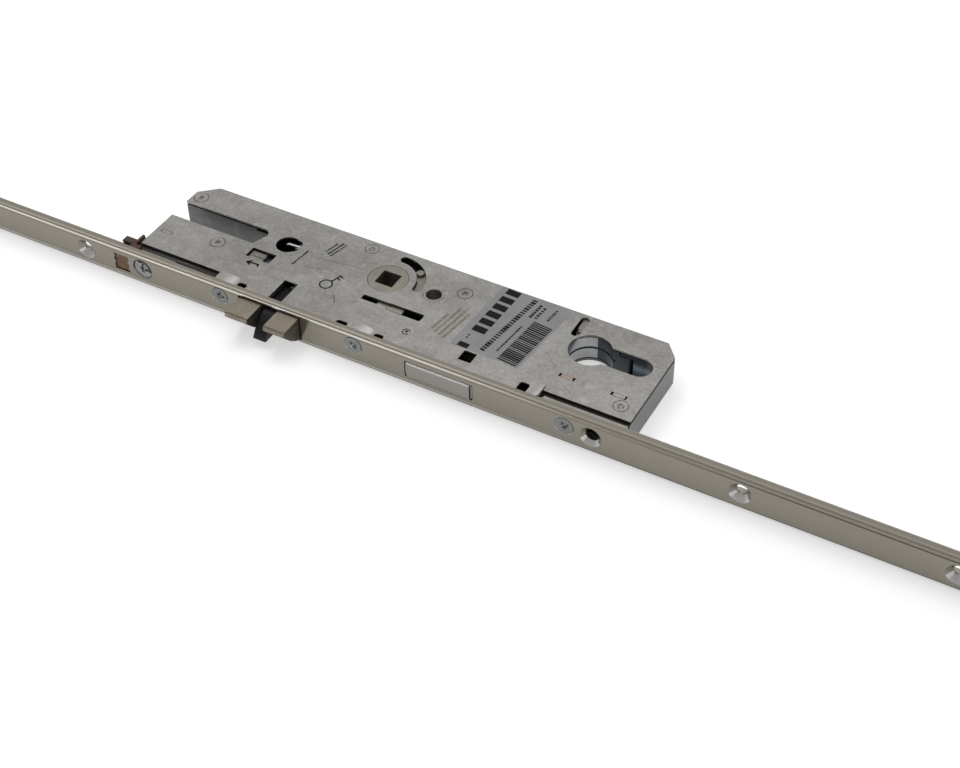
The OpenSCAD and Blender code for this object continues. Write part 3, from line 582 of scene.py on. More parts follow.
# The bolt's upper rounded front edge gets the light wire colour as a painted highlight, and its right
# end faces get painted shade
dress("deadbolt", [BOLT, WIRE_AND_HIGHLIGHT, SHADE], 0, front=(-37.5, 0.55),
      choose=lambda c, n: 2 if n.x > 0.6 else int(n.z > 0.25 and c.y < -36.9))
# Faces turned right or down get the darker casting as painted shade
dress("latch_bolt", [CAST, CAST_FLANK_SHADE], 0.25,
      choose=lambda c, n: int(n.x > 0.5 or n.z < -0.2))
# The walls of the square bore get painted shade
dress("follower", [BEIGE, SQUARE_BORE_SHADE], 0.2,
      choose=lambda c, n: int(max(abs(c.x), abs(c.y)) < 4.2 and abs(n.z) < 0.5))
dress("gear_stop", [BEIGE], 0.12)
slider = dress("snib_slider", [BEIGE], 0.12)
# The dark block shows beside the slider's end
move(slider, 0, -1.4, lambda x, y, z: x > -52.5)
dress("snib_block", [DARK])

# %% [markdown]
# ## Cylinder, small fittings and faceplate
#
# The gear's bore is bright, with painted shade on its right half. The cylinder guide is dark, with
# a painted highlight streak along its walls. The rack guide has a coppery tab and a zinc one. The
# trigger and the transport clip are plastic, and the trigger's part inside the case gets black ink
# as painted shade. Last comes the faceplate, whose countersinks and coupling screw hole get a
# painted highlight where they face up.

# %% Dress the fittings and the faceplate
def painted_highlight_faces(c, n):
    """1 where a countersink or the coupling screw's hole faces up, for a painted highlight."""
    countersink = 0.3 < abs(n.y) < 0.95
    coupling_hole = -102.7 < c.x < -93 and abs(n.y) < 0.3
    return int(abs(c.z) < 5.4 and n.z > 0.35 and (countersink or coupling_hole))


# The right half of the bore gets painted shade
dress("cylinder_gear", [BRIGHT, GEAR_BORE_SHADE], 0.08,
      choose=lambda c, n: int(c.x > 91.0 and abs(c.y) < 9.5 and abs(n.z) < 0.5))
dress("cylinder_guide", [GUIDE])
guide = dress("rack_guide", [COPPER, ZINC], 0.1,
              choose=lambda c, n: int(c.x > 107))
TAB_FROM = 5.45
TAB_MIDDLES = (90.9, 112.9)
for v in guide.data.vertices:
    # The two tabs end a little short of their slots in the cover
    if v.co.z / MM > TAB_FROM:
        middle = TAB_MIDDLES[v.co.x / MM >= 100]
        v.co.x = (middle + (v.co.x / MM - middle) * 0.78) * MM
dress("fixing_bush", [ZINC])
for node in ("slide_pin", "upper_hook_pin", "lower_hook_pin"):
    dress(node, [BRIGHT])
dress("follower_pin", [BEIGE], 0.45)
# The trigger's part inside the case gets black ink as painted shade
dress("trigger", [NAVY, INK_AND_SHADE], 0.2,
      choose=lambda c, n: int(c.y > -35 and n.z > -0.5))
dress("transport_clip", [RUSSET, AMBER], 0.12,
      choose=lambda c, n: int(c.y < -34.2))
dress("faceplate", [NICKEL, WIRE_AND_HIGHLIGHT], 0, choose=painted_highlight_faces)

# %% [markdown]
# ## Screws and rivets
#
# Every screw is turned round its axis and then gets a cross recess, so it is modelled the same way:
# rings of points, from the middle of the head outwards and down to the tip. Where a ring lies in
# the recess, its points are pushed down. The recess has sloping walls and four fine ticks between
# its arms, as on the real screws. A rivet is the same lathe work with a ring and a dimple instead.

# %% Turn a screw or a rivet
def closed_mesh(b, name):
    """The finished mesh of a built shape, with its faces turned outward."""
    bmesh.ops.recalc_face_normals(b, faces=b.faces)
    mesh = bpy.data.meshes.new(name)
    b.to_mesh(mesh)
    b.free()
    return mesh


TICK_DEPTH = 0.10
TICK_HALF_WIDTH = 0.10
WALL = 0.12


def recess_depth(x, y, arm, half, deep):
    """Depth of a cross recess at a point of the head, in mm."""
    cut = 0.0
    for u, v in ((x, y), (y, x)):
        side = min(1.0, max(0.0, (half + WALL - abs(v)) / WALL))
        end = min(1.0, max(0.0, (arm - abs(u)) / (arm * 0.45)))
        cut = max(cut, side * end)
    u, v = (x + y) * 0.7071, (x - y) * 0.7071
    tick = any(arm * 0.5 < abs(a) < arm * 1.05 and abs(b) < TICK_HALF_WIDTH
               for a, b in ((u, v), (v, u)))
    return max(cut * deep, tick * TICK_DEPTH)


def turned(name, outline, arm=0.0, half=0.42, deep=1.2, spokes=96, fine=26):
    """A lathed piece. outline holds (radius, height) in mm from the head's rim to the tip.

    arm, half and deep are the reach, half width and depth of the recess. spokes and fine are the
    numbers of points round the head and of rings across it.
    """
    rim = outline[0][0]
    rings = [(rim * (i / fine), outline[0][1]) for i in range(1, fine)] + list(outline)
    b = bmesh.new()
    middle = b.verts.new((0, 0, (outline[0][1] - (deep if arm else 0)) * MM))
    last = None
    for radius, height in rings:
        row = []
        for k in range(spokes):
            t = 2 * math.pi * k / spokes
            x, y = radius * math.cos(t), radius * math.sin(t)
            drop = recess_depth(x, y, arm, half, deep) if arm and radius < rim else 0.0
            row.append(b.verts.new((x * MM, y * MM, (height - drop) * MM)))
        for k in range(spokes):
            n = (k + 1) % spokes
            if last:
                b.faces.new((last[k], row[k], row[n], last[n]))
            else:
                b.faces.new((middle, row[k], row[n]))
        last = row
    b.faces.new(list(reversed(last)))
    return closed_mesh(b, name)


CASE_SCREW = turned("case_screw", [(3.85, 0), (4.0, -0.12), (4.0, -0.3), (2.3, -2.0),
                                   (2.0, -2.4), (2.0, -12)], arm=2.2, half=0.42, deep=0.62)
ROD_SCREW = turned("rod_screw", [(4.35, 0), (4.55, -0.2), (4.6, -2.3), (2.0, -2.32),
                                 (1.95, -8.9)], arm=2.7, half=0.6, deep=0.8)
COVER_SCREW = turned("cover_screw", [(2.75, 0.0), (2.95, -0.12), (2.98, -0.5), (1.2, -0.52),
                                     (1.2, -6.6)], 1.7, 0.34, 0.42, spokes=64, fine=20)
SMALL_SCREW = turned("small_screw", [(2.3, 0.6), (2.55, 0.4), (2.58, 0.06), (1.5, 0.05),
                                     (1.5, -3.5)], 1.5, 0.32, 0.5, spokes=64, fine=18)
RIVET = turned("rivet", [(2.95, 0.0), (3.1, -0.15), (3.15, -0.38), (1.5, -0.4), (1.5, -13.2),
                         (2.8, -13.25), (2.8, -13.7)], spokes=64, fine=24)
DIMPLE_DEPTH = 0.75
RING_DEPTH = 0.10
for v in RIVET.vertices:
    r = math.hypot(v.co.x, v.co.y) / MM
    if v.co.z / MM > -0.05:
        dimple = max(0, 1 - max(0, r - 0.6) / 0.5)
        v.co.z -= (DIMPLE_DEPTH * dimple + RING_DEPTH * (1.3 < r < 1.6)) * MM
print("head meshes:", [len(m.polygons) for m in
                       (CASE_SCREW, ROD_SCREW, COVER_SCREW, SMALL_SCREW, RIVET)])

# %% [markdown]
# ## Setting the screws
#
# The same screw sits in many places, each turned as it happened to stop. Geometry Nodes put one
# mesh on each point of a small cloud, and a fixed seed gives every copy its own turn. The modifier
# is then applied, so that a plain mesh rides on the body. This tree and two later ones start with
# named inputs and end in the same way, so both ends have a builder.

# %% The tree that sets copies on points
def new_tree(name, **inputs):
    """An empty tree with named inputs. Returns it, two makers and a way to feed an input in."""
    tree = bpy.data.node_groups.new(name, "GeometryNodeTree")
    for label, kind in inputs.items():
        tree.interface.new_socket(label, in_out="INPUT", socket_type="NodeSocket" + kind)
    tree.interface.new_socket("Geometry", in_out="OUTPUT", socket_type="NodeSocketGeometry")
    given = tree.nodes.new("NodeGroupInput")

    def give(label, node, *keys):
        for key in keys:
            tree.links.new(given.outputs[label], node.inputs[key])

    return tree, tree.nodes.new, tree.links.new, give


def close_tree(tree, last, give):
    """Makes the copies real, gives them their finish and ends the tree."""
    add, link = tree.nodes.new, tree.links.new
    real, paint = add("GeometryNodeRealizeInstances"), add("GeometryNodeSetMaterial")
    link(last.outputs[0], real.inputs[0])
    link(real.outputs[0], paint.inputs[0])
    give("Finish", paint, "Material")
    link(paint.outputs[0], add("NodeGroupOutput").inputs[0])
    return tree


def setter_tree():
    tree, add, link, give = new_tree("set_on_points", Geometry="Geometry", Part="Object",
                                     Facing="Rotation", Seed="Int", Finish="Material")
    part, spin = add("GeometryNodeObjectInfo"), add("FunctionNodeRandomValue")
    turn, euler = add("FunctionNodeRotateRotation"), add("ShaderNodeCombineXYZ")
    cloud, copy = add("GeometryNodeMeshToPoints"), add("GeometryNodeInstanceOnPoints")
    turn.rotation_space = "LOCAL"
    spin.data_type = "FLOAT"
    spin.inputs[2].default_value, spin.inputs[3].default_value = 0.0, 6.283
    give("Seed", spin, "Seed")
    link(spin.outputs[1], euler.inputs[2])
    give("Facing", turn, 0)
    link(euler.outputs[0], turn.inputs[1])
    give("Part", part, 0)
    give("Geometry", cloud, 0)
    link(cloud.outputs[0], copy.inputs["Points"])
    link(part.outputs["Geometry"], copy.inputs["Instance"])
    link(turn.outputs[0], copy.inputs["Rotation"])
    return close_tree(tree, copy, give)


def set_inputs(modifier, **values):
    for item in modifier.node_group.interface.items_tree:
        if item.item_type == "SOCKET" and item.in_out == "INPUT" and item.name in values:
            modifier[item.identifier] = values[item.name]


def set_parts(name, part_mesh, places, facing, seed, finish):
    """Copies part_mesh to places, given in mm, and returns one plain mesh."""
    part = bpy.data.objects.new(name + "_part", part_mesh)
    points = bpy.data.meshes.new(name + "_points")
    points.from_pydata([Vector(p) * MM for p in places], [], [])
    holder = bpy.data.objects.new(name, points)
    show(part)
    show(holder)
    m = holder.modifiers.new("set", "NODES")
    m.node_group = SETTER
    set_inputs(m, Part=part, Facing=facing, Seed=seed, Finish=finish)
    mesh = apply_modifiers(holder)
    bpy.data.objects.remove(part)
    bpy.data.objects.remove(holder)
    smooth_by_angle(mesh, 28)
    return mesh


def joined(name, meshes):
    """Several meshes as one."""
    b = bmesh.new()
    for mesh in meshes:
        b.from_mesh(mesh)
    whole = bpy.data.meshes.new(name)
    b.to_mesh(whole)
    b.free()
    return whole


SETTER = setter_tree()
print("setter tree:", len(SETTER.nodes), "nodes")

# %% [markdown]
# ## Where the screws go
#
# All places are in millimetres and lie on the heads' top faces. The heads in the faceplate, the
# coupling screw's too, get painted shade on the upper right of their rim: a dark crescent in the
# shaded finish.

# %% Set the screws and rivets
OUT_OF_PLATE = (math.radians(90), 0.0, 0.0)
UP = (0.0, 0.0, 0.0)
PLATE_Y = -36.97
COVER_TOP = 6.75
CASE_SCREWS_AT = [(-58.3, PLATE_Y, 2), (6, PLATE_Y, 2), (99.4, PLATE_Y, 0.9)]
COUPLING_SCREW_AT = [(-97.8, -36.57, 0.5)]
COVER_SCREWS_AT = [(-15.8, 13.4, COVER_TOP), (115.9, -22.6, COVER_TOP)]
RIVETS_AT = [(32.4, 6.6, 6.72), (-99.6, 8.6, 6.72), (-75.4, -13.4, 6.72)]
# Each hook box stands at one of HOOKS along the faceplate and has a lug at both of LUGS from there
HOOKS = (-505.0, 590.0)
LUGS = (-52.0, 34.0)
HOOK_PLATE_SCREWS_AT = [(x + e, PLATE_Y, 0) for x in HOOKS for e in LUGS]
HOOK_COVER_SCREWS_AT = [(x + e, -27, COVER_TOP) for x in HOOKS for e in LUGS]


def fasten(node, meshes, finish, shaded=()):
    """shaded lists (x, z, from radius) of the faceplate's heads that get painted shade on the upper
    right of their rim.
    """
    piece = new_piece(node + "_turned", joined(node, meshes), body_of_node(node),
                      [finish, SHADE])
    for face in piece.data.polygons:
        c = face.center / MM
        face.material_index = 0
        for x, z, start in shaded:
            away = math.hypot(c.x - x, c.z - z)
            upper_right = (c.x - x) * 0.55 + (c.z - z) * 0.83 > 0.3 * away
            if c.y < -36 and start < away < 5 and upper_right:
                face.material_index = 1
    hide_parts(node)
    print(f"{node}: {len(piece.data.polygons)} faces")


fasten("case_screws",
       [set_parts("case_screw_set", CASE_SCREW, CASE_SCREWS_AT, OUT_OF_PLATE, 4, SCREW)], SCREW,
       [(-58.3, 2, 3.5), (6, 2, 3.5), (99.4, 0.9, 3.66)])
fasten("coupling_screw",
       [set_parts("rod_screw_set", ROD_SCREW, COUPLING_SCREW_AT, OUT_OF_PLATE, 2, JOIN)], JOIN,
       [(-97.8, 0.5, 2.9)])
fasten("cover_screws",
       [set_parts("cover_screw_set", COVER_SCREW, COVER_SCREWS_AT, UP, 3, ZINC)], ZINC)
fasten("cover_rivets",
       [set_parts("rivet_set", RIVET, RIVETS_AT, UP, 1, ZINC)], ZINC)
fasten("hook_case_screws",
       [set_parts("hook_plate_set", CASE_SCREW, HOOK_PLATE_SCREWS_AT, OUT_OF_PLATE, 8, SCREW),
        set_parts("hook_cover_set", SMALL_SCREW, HOOK_COVER_SCREWS_AT, UP, 9, SCREW)], SCREW)

# %% [markdown]
# ## Springs
#
# Two compression springs push the latch and the trigger out. Each is one wire on a screw line.
# Geometry Nodes suit this: a Spiral curve carries a round profile, and the sizes stay as named
# inputs.

# %% Build the spring tree and both springs
def spring_tree():
    tree, add, link, give = new_tree("coil_spring", Turns="Float", Radius="Float",
                                     Length="Float", Wire="Float", Finish="Material")
    spiral, ring = add("GeometryNodeCurveSpiral"), add("GeometryNodeCurvePrimitiveCircle")
    sweep, soft = add("GeometryNodeCurveToMesh"), add("GeometryNodeSetShadeSmooth")
    spiral.inputs["Resolution"].default_value = 28
    ring.inputs["Resolution"].default_value = 10
    sweep.inputs["Fill Caps"].default_value = True
    give("Turns", spiral, "Rotations")
    give("Radius", spiral, "Start Radius", "End Radius")
    give("Length", spiral, "Height")
    give("Wire", ring, "Radius")
    link(spiral.outputs[0], sweep.inputs["Curve"])
    link(ring.outputs[0], sweep.inputs["Profile Curve"])
    link(sweep.outputs[0], soft.inputs[0])
    return close_tree(tree, soft, give)


def recalculate(mesh):
    b = bmesh.new()
    b.from_mesh(mesh)
    bmesh.ops.remove_doubles(b, verts=b.verts, dist=1e-7)
    bmesh.ops.recalc_face_normals(b, faces=b.faces)
    b.to_mesh(mesh)
    b.free()


def spring(node, x, z, y0, y1, radius, wire, turns):
    """A spring along Y from y0 on its bolt to y1, where it is held. All sizes are in mm."""
    holder = bpy.data.objects.new(node + "_wire", bpy.data.meshes.new(node))
    show(holder)
    m = holder.modifiers.new("coil", "NODES")
    m.node_group = SPRING_TREE
    set_inputs(m, Turns=float(turns), Radius=radius * MM, Length=(y1 - y0 - 2 * wire) * MM,
               Wire=wire * MM, Finish=WIRE_AND_HIGHLIGHT)
    mesh = apply_modifiers(holder)
    mesh.transform(Matrix.Translation(Vector((x, y0 + wire, z)) * MM)
                   @ Matrix.Rotation(math.radians(-90), 4, "X"))
    recalculate(mesh)
    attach(holder, "lock_body")
    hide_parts(node)
    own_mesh(holder)
    print(f"{node}: {turns} turns, {len(mesh.polygons)} faces")


SPRING_TREE = spring_tree()
spring("latch_spring", x=-45.5, z=0, y0=-9.9, y1=16.7, radius=2.7, wire=0.4,
       turns=9)
spring("trigger_spring", x=-33.5, z=1.7, y0=-20.9, y1=2.7, radius=1.6, wire=0.3,
       turns=12)

# %% [markdown]
# ## Thin plates
#
# Sticker, prints and a few hidden lips are flat plates with a given outline. Three small builders
# make them: one for any outline, one for rings and arcs, and one for straight printed lines. The
# prints are a few hundredths of a millimetre thick and float just above the cover.

# %% The plate builders
COVER_Z = 6.7
PRINT_Z = COVER_Z + 0.01
PRINT_THICK = 0.04
DEGREES_PER_PART = 7.5


def flat_plate(name, corners, z, thick):
    """A thin plate with the given outline, in mm."""
    b = bmesh.new()
    low = [b.verts.new((x * MM, y * MM, z * MM)) for x, y in corners]
    top = [b.verts.new((x * MM, y * MM, (z + thick) * MM)) for x, y in corners]
    b.faces.new(list(reversed(low)))
    b.faces.new(top)
    for i in range(len(corners)):
        j = (i + 1) % len(corners)
        b.faces.new((low[i], low[j], top[j], top[i]))
    return closed_mesh(b, name)


def ring_plate(name, x, y, radius, line, start=0, end=360, z=PRINT_Z, thick=PRINT_THICK):
    """A flat ring, or an arc from start to end in degrees."""
    n = max(6, int((end - start) / DEGREES_PER_PART))
    whole = end - start >= 360
    b = bmesh.new()
    sections = []
    for i in range(n + (0 if whole else 1)):
        t = math.radians(start + (end - start) * i / n)
        section = []
        for r, h in ((radius - line / 2, z), (radius + line / 2, z),
                     (radius + line / 2, z + thick), (radius - line / 2, z + thick)):
            section.append(b.verts.new(((x + r * math.cos(t)) * MM, (y + r * math.sin(t)) * MM,
                                        h * MM)))
        sections.append(section)
    count = len(sections)
    for i in range(count if whole else count - 1):
        a, c = sections[i], sections[(i + 1) % count]
        for k in range(4):
            b.faces.new((a[k], c[k], c[(k + 1) % 4], a[(k + 1) % 4]))
    if not whole:
        b.faces.new(sections[0])
        b.faces.new(list(reversed(sections[-1])))
    return closed_mesh(b, name)


def strip(x0, y0, x1, y1, width):
    """A straight printed line."""
    d = Vector((x1 - x0, y1 - y0)).normalized() * width / 2
    n = Vector((-d.y, d.x))
    return flat_plate("strip", [(x0 + n.x, y0 + n.y), (x0 - n.x, y0 - n.y), (x1 - n.x, y1 - n.y),
                                (x1 + n.x, y1 + n.y)], PRINT_Z, PRINT_THICK)


print("plate builders ready, prints from z =", PRINT_Z)

# %% [markdown]
# ## The sticker
#
# A thin silvery sticker lies on the cover beside the cylinder hole, turned by about seven degrees.
# Its print is replaced by plain marks: a row of blocks, rows of dashes and a band of bars. Each
# row is one repeated bar of random width, so one small tree makes them all.

# %% The tree that makes a row of marks
def row_tree():
    tree, add, link, give = new_tree("row_of_marks", Count="Int", Pitch="Float", Tall="Float",
                                     Thin="Float", Thick="Float", Seed="Int", Finish="Material")
    line, step = add("GeometryNodeMeshLine"), add("ShaderNodeCombineXYZ")
    bar, width = add("GeometryNodeMeshCube"), add("FunctionNodeRandomValue")
    size, copy = add("ShaderNodeCombineXYZ"), add("GeometryNodeInstanceOnPoints")
    bar.inputs["Size"].default_value = (1, 1, 1)
    width.data_type = "FLOAT"
    size.inputs[2].default_value = PRINT_THICK * MM
    give("Count", line, "Count")
    give("Pitch", step, 1)
    link(step.outputs[0], line.inputs["Offset"])
    give("Thin", width, 2)
    give("Thick", width, 3)
    give("Seed", width, "Seed")
    give("Tall", size, 0)
    link(width.outputs[1], size.inputs[1])
    link(line.outputs[0], copy.inputs["Points"])
    link(bar.outputs[0], copy.inputs["Instance"])
    link(size.outputs[0], copy.inputs["Scale"])
    return close_tree(tree, copy, give)


def row(at, angle, count, pitch, tall, thin, thick, seed, z, finish=None):
    """Marks in a row along +Y turned by angle, from the point at, with widths of thin to thick."""
    holder = bpy.data.objects.new("row", bpy.data.meshes.new("row"))
    show(holder)
    m = holder.modifiers.new("marks", "NODES")
    m.node_group = ROWS
    set_inputs(m, Count=count, Pitch=pitch * MM, Tall=tall * MM, Thin=thin * MM, Thick=thick * MM,
               Seed=seed, Finish=finish or INK_AND_SHADE)
    mesh = apply_modifiers(holder)
    bpy.data.objects.remove(holder)
    mesh.transform(Matrix.Translation(Vector((at[0], at[1], z)) * MM)
                   @ Matrix.Rotation(math.radians(-angle), 4, "Z"))
    return mesh


ROWS = row_tree()
print("row tree:", len(ROWS.nodes), "nodes")

# %% [markdown]
# ## Film and print of the sticker
#
# The film is silvery with a thin clear coat and soft clouds. Each line of the table below is one
# row: its start, its turn in degrees, the number of marks, their pitch and height, the thinnest and
# the thickest mark, and the seed that draws the widths.

# %% Build the sticker and its marks
film = Finish("sticker_film", 0.35, Coat_Weight=0.4, Coat_Roughness=0.2)
film_cloud = film.grain(9, detail=4.0)
film.feed("Base Color", film.mix(film_cloud, (0.185, 0.180, 0.184), (0.262, 0.254, 0.256)))
film.feed("Roughness", film_cloud * 0.12 + 0.34)
film.bump(film.grain(4, detail=3.0, shift=(3, 3, 3)), 0.05, 0.3)
STICKER_OUTLINE = [(72.0, -22.5), (75.5, 14.9), (72.9, 17.5), (44.0, 17.5), (41.6, -22.1)]
new_piece("sticker", flat_plate("sticker", STICKER_OUTLINE, PRINT_Z, 0.05), "lock_body",
          [film.material])
STICKER_ROWS = [((66.6, -21.5), 6, 24, 1.1, 8.6, 0.30, 0.95, 11),
                ((48.3, -9.8), 3, 6, 5.1, 6.0, 3.3, 3.5, 12),
                ((46.9, -20.6), 3, 1, 5.1, 4.6, 2.6, 2.8, 17),
                ((46.0, -16.2), 3, 2, 1.6, 0.8, 0.8, 0.9, 18),
                ((54.8, -19.6), 7.8, 25, 1.48, 2.1, 0.7, 1.3, 13),
                ((62.3, 6.4), 6, 6, 1.5, 1.2, 0.7, 1.2, 14),
                ((64.6, 6.6), 6, 5, 1.6, 1.2, 0.7, 1.3, 15),
                ((69.5, 7.6), 6, 6, 1.3, 1.1, 0.6, 1.1, 19),
                ((60.2, -17.4), 6, 16, 1.1, 0.8, 0.5, 0.9, 16)]
marks = [row(*values, COVER_Z + 0.08) for values in STICKER_ROWS]
new_piece("sticker_marks", joined("sticker_marks", marks), "lock_body", [INK_AND_SHADE])
print("sticker rows:", len(marks))

# %% [markdown]
# ## What shows through the openings
#
# Looked at closely, the openings of the real lock are not empty. A bent lip of the case runs in the
# gap behind the faceplate, a foot of the case lies beside the clip, a straight leg of wire crosses
# the hook-shaped hole, and a sector of the follower fills the arc slot. All four are plain plates,
# and the sector rides on the follower, so it turns with the handle.

# %% Build the four hidden plates
FRONT_Y = -31.2
LIP_SPANS = ((-103.4, -64.5), (87.4, 122.6))
# The back of each bar of the lip, its lower face and its thickness
LIP_BARS = ((-30.25, 2.6, 2.9), (-29.5, 2.5, 1.0))
FOOT = [(-106, -29), (-103.2, -29), (-103.2, -26.3), (-106, -26.3)]
LEG = [(-50.4, 0.6), (-49.8, 1.8), (-42.6, 2.2), (-42.6, 1.4), (-49.3, 1.0)]
lips = [flat_plate("lip", [(a, FRONT_Y), (b, FRONT_Y), (b, y), (a, y)], low, thick)
        for a, b in LIP_SPANS for y, low, thick in LIP_BARS]
front_lip = new_piece("front_lip", joined("front_lip", lips), "lock_body",
                      [ZINC, SHADE])
for face in front_lip.data.polygons:
    # The lip on the latch side gets painted shade
    face.material_index = int(face.center.x < 0)
# The foot gets painted shade
new_piece("clip_foot", flat_plate("clip_foot", FOOT, 3.4, 1.0), "lock_body",
          [SHADE])
new_piece("spring_leg", flat_plate("spring_leg", LEG, 4.6, 0.6), "lock_body",
          [WIRE_AND_HIGHLIGHT])
sector = ring_plate("follower_sector", 0, 0, 13.7, 3.8, start=-14, end=45, z=4.2, thick=0.85)
new_piece("follower_sector", sector, body_of_node("follower"), [BEIGE])
print("hidden plates:", len(lips), "bars of the lip, a foot, a leg and a sector")

# %% [markdown]
# ## Printed marks on the cover
#
# The cover carries small dark prints: a ring with a stem, an arrow under the snib window and short
# rows. Pale rows of dashes stand where the real cover has dotted print, and a few fine lines are
# scratches in the zinc. All are plain generic marks.

# %% Print the marks
MARK_Z = COVER_Z + 0.03
# Each straight line: start x and y, end x and y, width
STEM = [(-19.5, -12.5, -17.6, -7.4, 0.7), (-18.6, -9.6, -16.6, -10.3, 0.6),
        (-18.0, -8.0, -16.0, -8.7, 0.6)]
ARROW = [(-57.2, -18.1, -51.6, -17.6, 0.8), (-57.4, -18.2, -55.4, -16.7, 0.8),
         (-57.4, -18.0, -55.2, -19.3, 0.8), (-52.0, -17.4, -51.7, -18.9, 0.8)]
# Each row as for the sticker: start, turn, count, pitch, height, thinnest, thickest, seed
DARK_ROWS = [((-39.7, -10.3), 6.5, 8, 1.35, 0.8, 0.7, 1.25, 21),
             ((-30.2, 2.0), 14, 8, 1.2, 0.85, 0.7, 1.1, 22),
             ((-28.6, 1.6), 14, 8, 1.2, 0.7, 0.6, 1.1, 23),
             ((-31.8, 3.0), 14, 6, 1.2, 0.7, 0.6, 1.1, 24)]
PALE_ROWS = [(31.2, -17.6, 9, 30), (33.3, -18.6, 14, 31), (35.5, -19.6, 15, 32),
             (37.8, -20.4, 14, 33)]
SCRATCHES = [(77.3, -9.2, 84.9, -15.5, 0.2), (92.2, -23.0, 97.3, -26.5, 0.2),
             (-36.2, -2.9, -11.9, 0.5, 0.16), (-35.1, -9.7, -25.0, -7.2, 0.16),
             (-27.1, -6.2, -13.3, -8.9, 0.16), (-22.2, -9.3, -16.5, -24.1, 0.14)]
prints = [ring_plate("ring", -20.5, -15, 2.6, 0.6), *(strip(*line) for line in STEM + ARROW),
          *(row(*values, MARK_Z) for values in DARK_ROWS),
          strip(-13.9, -19.2, -11.2, -23.4, 0.3),
          ring_plate("dimple", 23.2, -24.6, 1.5, 0.4, 20, 330),
          ring_plate("spot", 23.3, -24.4, 0.35, 0.5)]
new_piece("cover_print", joined("cover_print", prints), "lock_body", [INK_AND_SHADE])
fine = [strip(*line) for line in SCRATCHES]
new_piece("fine_lines", joined("fine_lines", fine), "lock_body", [ZINC_SHADE_AND_SCRATCH])
pale = [row((x, y), 8, count, 1.25, 1.25, 0.6, 1.05, seed, MARK_Z, DOTS)
        for x, y, count, seed in PALE_ROWS]
new_piece("pale_print", joined("pale_print", pale), "lock_body", [DOTS])
print("printed marks:", len(prints), "fine lines:", len(fine), "pale rows:", len(pale))

# %% [markdown]
# ## The studio
#
# The photo has a plain white ground. The floor shines white where the camera looks at it, straight
# or through a clear surface, and where metal mirrors it. Its own colour is a plain pale grey, so
# the lock's shadow stays on it.

# %% Lay the floor
LOW = CAD_BOX[0][2]


def white_ground():
    f = Finish("white_ground", 0.0)
    f.shader.inputs["Base Color"].default_value = (0.62, 0.62, 0.62, 1)
    f.shader.inputs["Roughness"].default_value = 0.9
    f.shader.inputs["Emission Color"].default_value = (1, 1, 1, 1)
    path = f.tree.nodes.new("ShaderNodeLightPath")
    seen = Wire(f, path.outputs["Is Camera Ray"])
    for ray in ("Is Glossy Ray", "Is Transmission Ray"):
        seen = f.node("ShaderNodeMath", {"operation": "MAXIMUM"},
                      {0: seen, 1: Wire(f, path.outputs[ray])})
    f.feed("Emission Strength", seen * 0.55)
    return f.material


FLOOR_Z = LOW - 0.0002
FLOOR_HALF = 6
floor_mesh = bpy.data.meshes.new("floor")
floor_mesh.from_pydata([(x * FLOOR_HALF, y * FLOOR_HALF, FLOOR_Z)
                        for x, y in ((-1, -1), (1, -1), (1, 1), (-1, 1))], [], [(0, 1, 2, 3)])
floor_mesh.materials.append(white_ground())
floor = bpy.data.objects.new("floor", floor_mesh)
show(floor)
print("floor at", round(LOW / MM, 2), "mm")

# %% [markdown]
# ## The sky
#
# The camera sees a white world. What the metal mirrors is dimmer: a sky that is darker in front
# than behind, with one bright band just above the horizon in front of the lock. That band gives
# the faceplate its even sheen, and the dark zone over it keeps the cover grey.

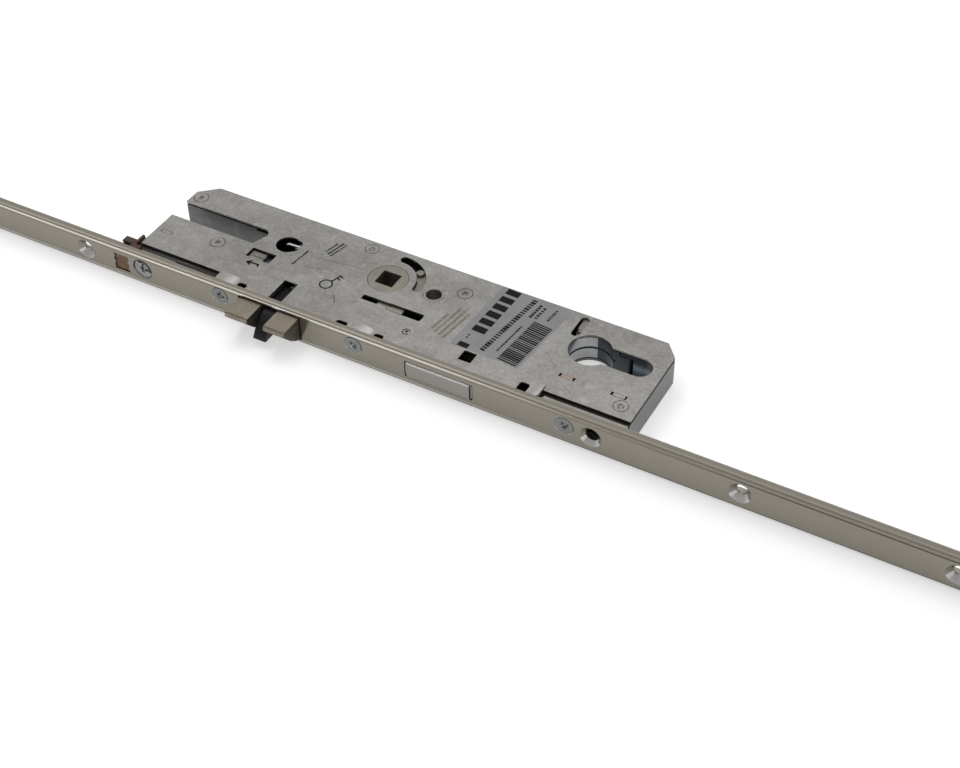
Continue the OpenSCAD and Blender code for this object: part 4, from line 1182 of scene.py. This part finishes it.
# %% Build the sky
world = bpy.data.worlds.new("studio")
bpy.context.scene.world = world
world.use_nodes = True
sky = world.node_tree
path = sky.nodes.new("ShaderNodeLightPath")
where = sky.nodes.new("ShaderNodeTexCoord")
axes = sky.nodes.new("ShaderNodeSeparateXYZ")
sky.links.new(where.outputs["Generated"], axes.inputs[0])


def sky_step(axis, low, high, from_value, to_value):
    """Brightness that changes smoothly along one axis of the sky."""
    node = sky.nodes.new("ShaderNodeMapRange")
    node.interpolation_type = "SMOOTHSTEP"
    sky.links.new(axes.outputs[axis], node.inputs["Value"])
    for key, value in (("From Min", low), ("From Max", high), ("To Min", from_value),
                       ("To Max", to_value)):
        node.inputs[key].default_value = value
    return node.outputs["Result"]


def sky_math(operation, first, second):
    """Two brightnesses of the sky put together."""
    node = sky.nodes.new("ShaderNodeMath")
    node.operation = operation
    sky.links.new(first, node.inputs[0])
    sky.links.new(second, node.inputs[1])
    return node.outputs[0]


seen = sky_math("MAXIMUM", path.outputs["Is Camera Ray"], path.outputs["Is Transmission Ray"])
band = sky_math("MULTIPLY", sky_step("Z", 0.10, 0.26, 2.4, 0.0),
                sky_step("Y", -0.85, -0.35, 1.0, 0.0))
level = sky.nodes.new("ShaderNodeMapRange")
sky.links.new(seen, level.inputs["Value"])
sky.links.new(sky_math("ADD", sky_step("Y", -0.55, 0.15, 0.16, 0.62), band),
              level.inputs["To Min"])
level.inputs["To Max"].default_value = 1.0
sky.links.new(level.outputs[0], sky.nodes["Background"].inputs["Strength"])
sky.nodes["Background"].inputs["Color"].default_value = (1, 1, 1, 1)
print("sky:", len(sky.nodes), "nodes")

# %% [markdown]
# ## The lamps
#
# Two large soft rectangles hang over the lock and look at its spindle. Their power is low, so that
# a colour renders about as it is written.

# %% Hang the lamps
def lamp(name, at, size, power):
    """A soft rectangle of light that looks at the origin."""
    data = bpy.data.lights.new(name, "AREA")
    data.shape, data.size, data.size_y, data.energy = "RECTANGLE", size[0], size[1], power
    obj = bpy.data.objects.new(name, data)
    obj.location = at
    obj.rotation_euler = (-Vector(at)).to_track_quat("-Z", "Y").to_euler()
    show(obj)


lamp("top_lamp", (-0.3, 0.5, 1.5), (1.6, 1.0), 8)
lamp("front_lamp", (-0.55, -0.15, 1.6), (2.2, 0.35), 5)
